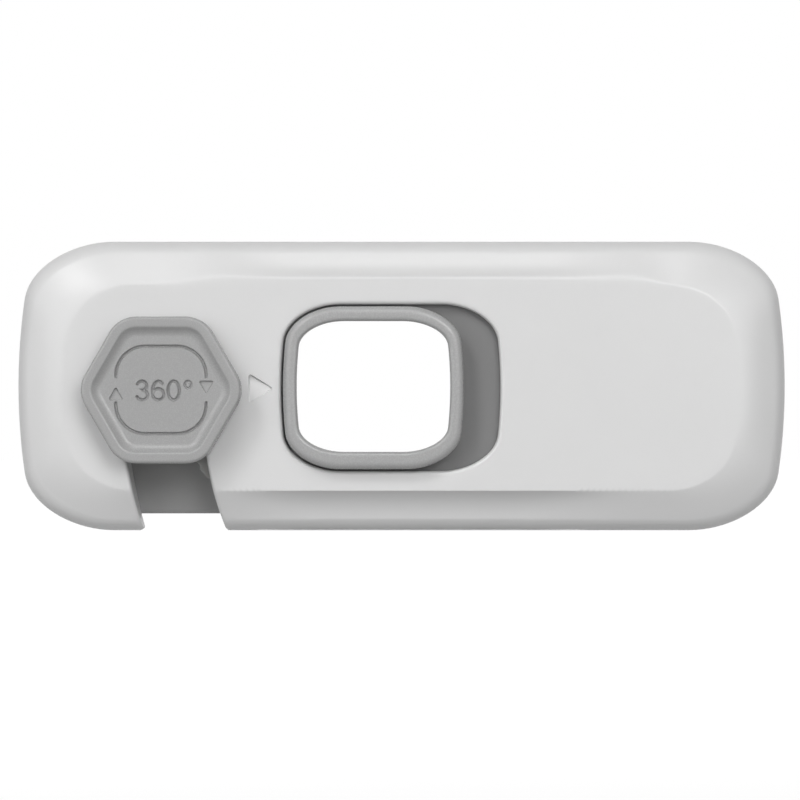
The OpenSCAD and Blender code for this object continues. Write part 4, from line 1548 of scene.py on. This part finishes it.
@dataclass
class Studio:
    """A pale floor, a white backdrop whose light comes from behind, and softboxes."""

    floor_z: float = -0.11
    floor_half: float = 6.0
    # The floor's glow near the object and far off, and the distances from where to where it rises
    glow: Span = (0.76, 1.0)
    glow_reach: Span = (0.35, 0.9)
    target: tuple[float, float, float] = (-0.034, -0.01, 0.0)
    eye: tuple[float, float, float] = (-0.03425, -0.588, -0.00169)
    lens: float = 166.4
    lamps: tuple[Softbox, ...] = (
        Softbox("softbox_front", 20.0, 15.0, 0.8, 8.9),
        Softbox("softbox_upper_left", 40.0, -36.0, 0.5, 9.1),
        Softbox("softbox_top", 50.0, 0.0, 0.8, 7.0),
        Softbox("softbox_wide_left", 12.0, -40.0, 1.6, 12.0),
        Softbox("softbox_wide_right", 12.0, 30.0, 1.6, 9.6))

    def seen(self, tree: NodeTree) -> NodeSocket:
        """1 for rays from the camera, in gloss and through glass, and 0 for those of light."""
        path = add_node(tree, "ShaderNodeLightPath").outputs
        found = path["Is Camera Ray"]
        for other in ("Is Glossy Ray", "Is Transmission Ray"):
            found = add_node(tree, "ShaderNodeMath", {0: found, 1: path[other]},
                             operation="MAXIMUM").outputs[0]
        return found

    def build_world(self) -> None:
        """Sets a backdrop that shows white and lights the object's back, by a ray's share of y."""
        world = bpy.data.worlds.new("studio_sky")
        bpy.context.scene.world = world
        tree = empty_tree(world)
        way = add_node(tree, "ShaderNodeTexCoord").outputs["Generated"]
        back = add_node(tree, "ShaderNodeVectorMath", {0: way, 1: (0.0, 1.0, 0.0)},
                        operation="DOT_PRODUCT")
        light = add_node(tree, "ShaderNodeMapRange",
                         {"Value": back.outputs["Value"], "From Min": 0.5, "To Max": 1.0})
        level = add_node(tree, "ShaderNodeMapRange",
                         {"Value": self.seen(tree), "To Min": light.outputs["Result"],
                          "To Max": 1.0})
        sky = add_node(tree, "ShaderNodeBackground",
                       {"Color": linear("FFFFFF"), "Strength": level.outputs["Result"]})
        add_node(tree, "ShaderNodeOutputWorld", {"Surface": sky.outputs["Background"]})

    def build_floor(self) -> None:
        """Lays a pale floor that shows white and keeps the object's shadow."""
        mesh = bpy.data.meshes.new("studio_floor")
        s, z = self.floor_half, self.floor_z
        corners = [(-s, -s, z), (s, -s, z), (s, s, z), (-s, s, z)]
        mesh.from_pydata(corners, [], [(0, 1, 2, 3)])
        floor = add_object("studio_floor", mesh)
        made = bpy.data.materials.new("floor_pale_matt")
        tree = empty_tree(made)
        matt = add_node(tree, "ShaderNodeBsdfDiffuse", {"Color": linear("BBBBBB")})
        where = add_node(tree, "ShaderNodeTexCoord").outputs["Object"]
        far = add_node(tree, "ShaderNodeVectorMath", {0: where}, operation="LENGTH")
        white = add_node(tree, "ShaderNodeMapRange",
                         {"Value": far.outputs["Value"], "From Min": self.glow_reach[0],
                          "From Max": self.glow_reach[1], "To Min": self.glow[0],
                          "To Max": self.glow[1]})
        level = add_node(tree, "ShaderNodeMath", {0: self.seen(tree), 1: white.outputs["Result"]},
                         operation="MULTIPLY")
        glow = add_node(tree, "ShaderNodeEmission",
                        {"Color": linear("FFFFFF"), "Strength": level.outputs[0]})
        both = add_node(tree, "ShaderNodeAddShader", {0: matt.outputs[0], 1: glow.outputs[0]})
        add_node(tree, "ShaderNodeOutputMaterial", {"Surface": both.outputs[0]})
        mesh.materials.append(made)

    def build_camera(self) -> None:
        """Sets the camera straight in front, as in the photograph."""
        eye = bpy.data.cameras.new("camera")
        eye.lens, eye.sensor_width = self.lens, 36.0
        eye.clip_start, eye.clip_end = 0.05, 40.0
        camera = add_object("camera", eye)
        camera.location = self.eye
        camera.rotation_euler = (math.pi / 2, 0.0, 0.0)
        bpy.context.scene.camera = camera

    def build(self) -> None:
        """Builds the studio and sets the plain view."""
        bpy.context.scene.view_settings.view_transform = "Standard"
        self.build_world()
        self.build_floor()
        for lamp in self.lamps:
            lamp.build(Vector(self.target))
        self.build_camera()


# Carried-over CAD nodes by their finish and the width of their round edges
SMALL_PARTS = (
    (Finishes.ZINC, 0.08, ("cover_screws", "pivot_screw", "knob_screw", "pivot_washer",
                           "knob_washer", "tongue_rivet")),
    (Finishes.WIRE, 0.05, ("pivot_wave_washer", "knob_wave_washer")),
    (Finishes.ACETAL, 0.12, ("hinge_bush",)), (Finishes.ACETAL, 0.2, ("latch_tongue",)))


def main() -> None:
    """Builds every piece and the studio, in order."""
    logging.basicConfig(level=logging.INFO, format="%(message)s")
    for piece in (FrontCover(), RearCover(), RingSlider(), ReturnSpring(1), ReturnSpring(-1),
                  Knob()):
        piece.build()
    bases = (Base("catch", -71.0, (19.65, 19.65), 5.7, 14.95,
                  ((4.9, 1.0), (4.9, 4.52), (3.45, 4.52), (3.45, 14.95))),
             Base("hinge", 0.0, (17.0, 19.5), 4.0, 9.78, ((1.52, 2.0), (1.52, 9.78))))
    for base in bases:
        base.build_plate()
    for base in bases:
        base.build_pad()
    for finish, bevel, names in SMALL_PARTS:
        for name in names:
            dress_node(name, finish, bevel)
    Studio().build()


if __name__ == "__main__":
    main()
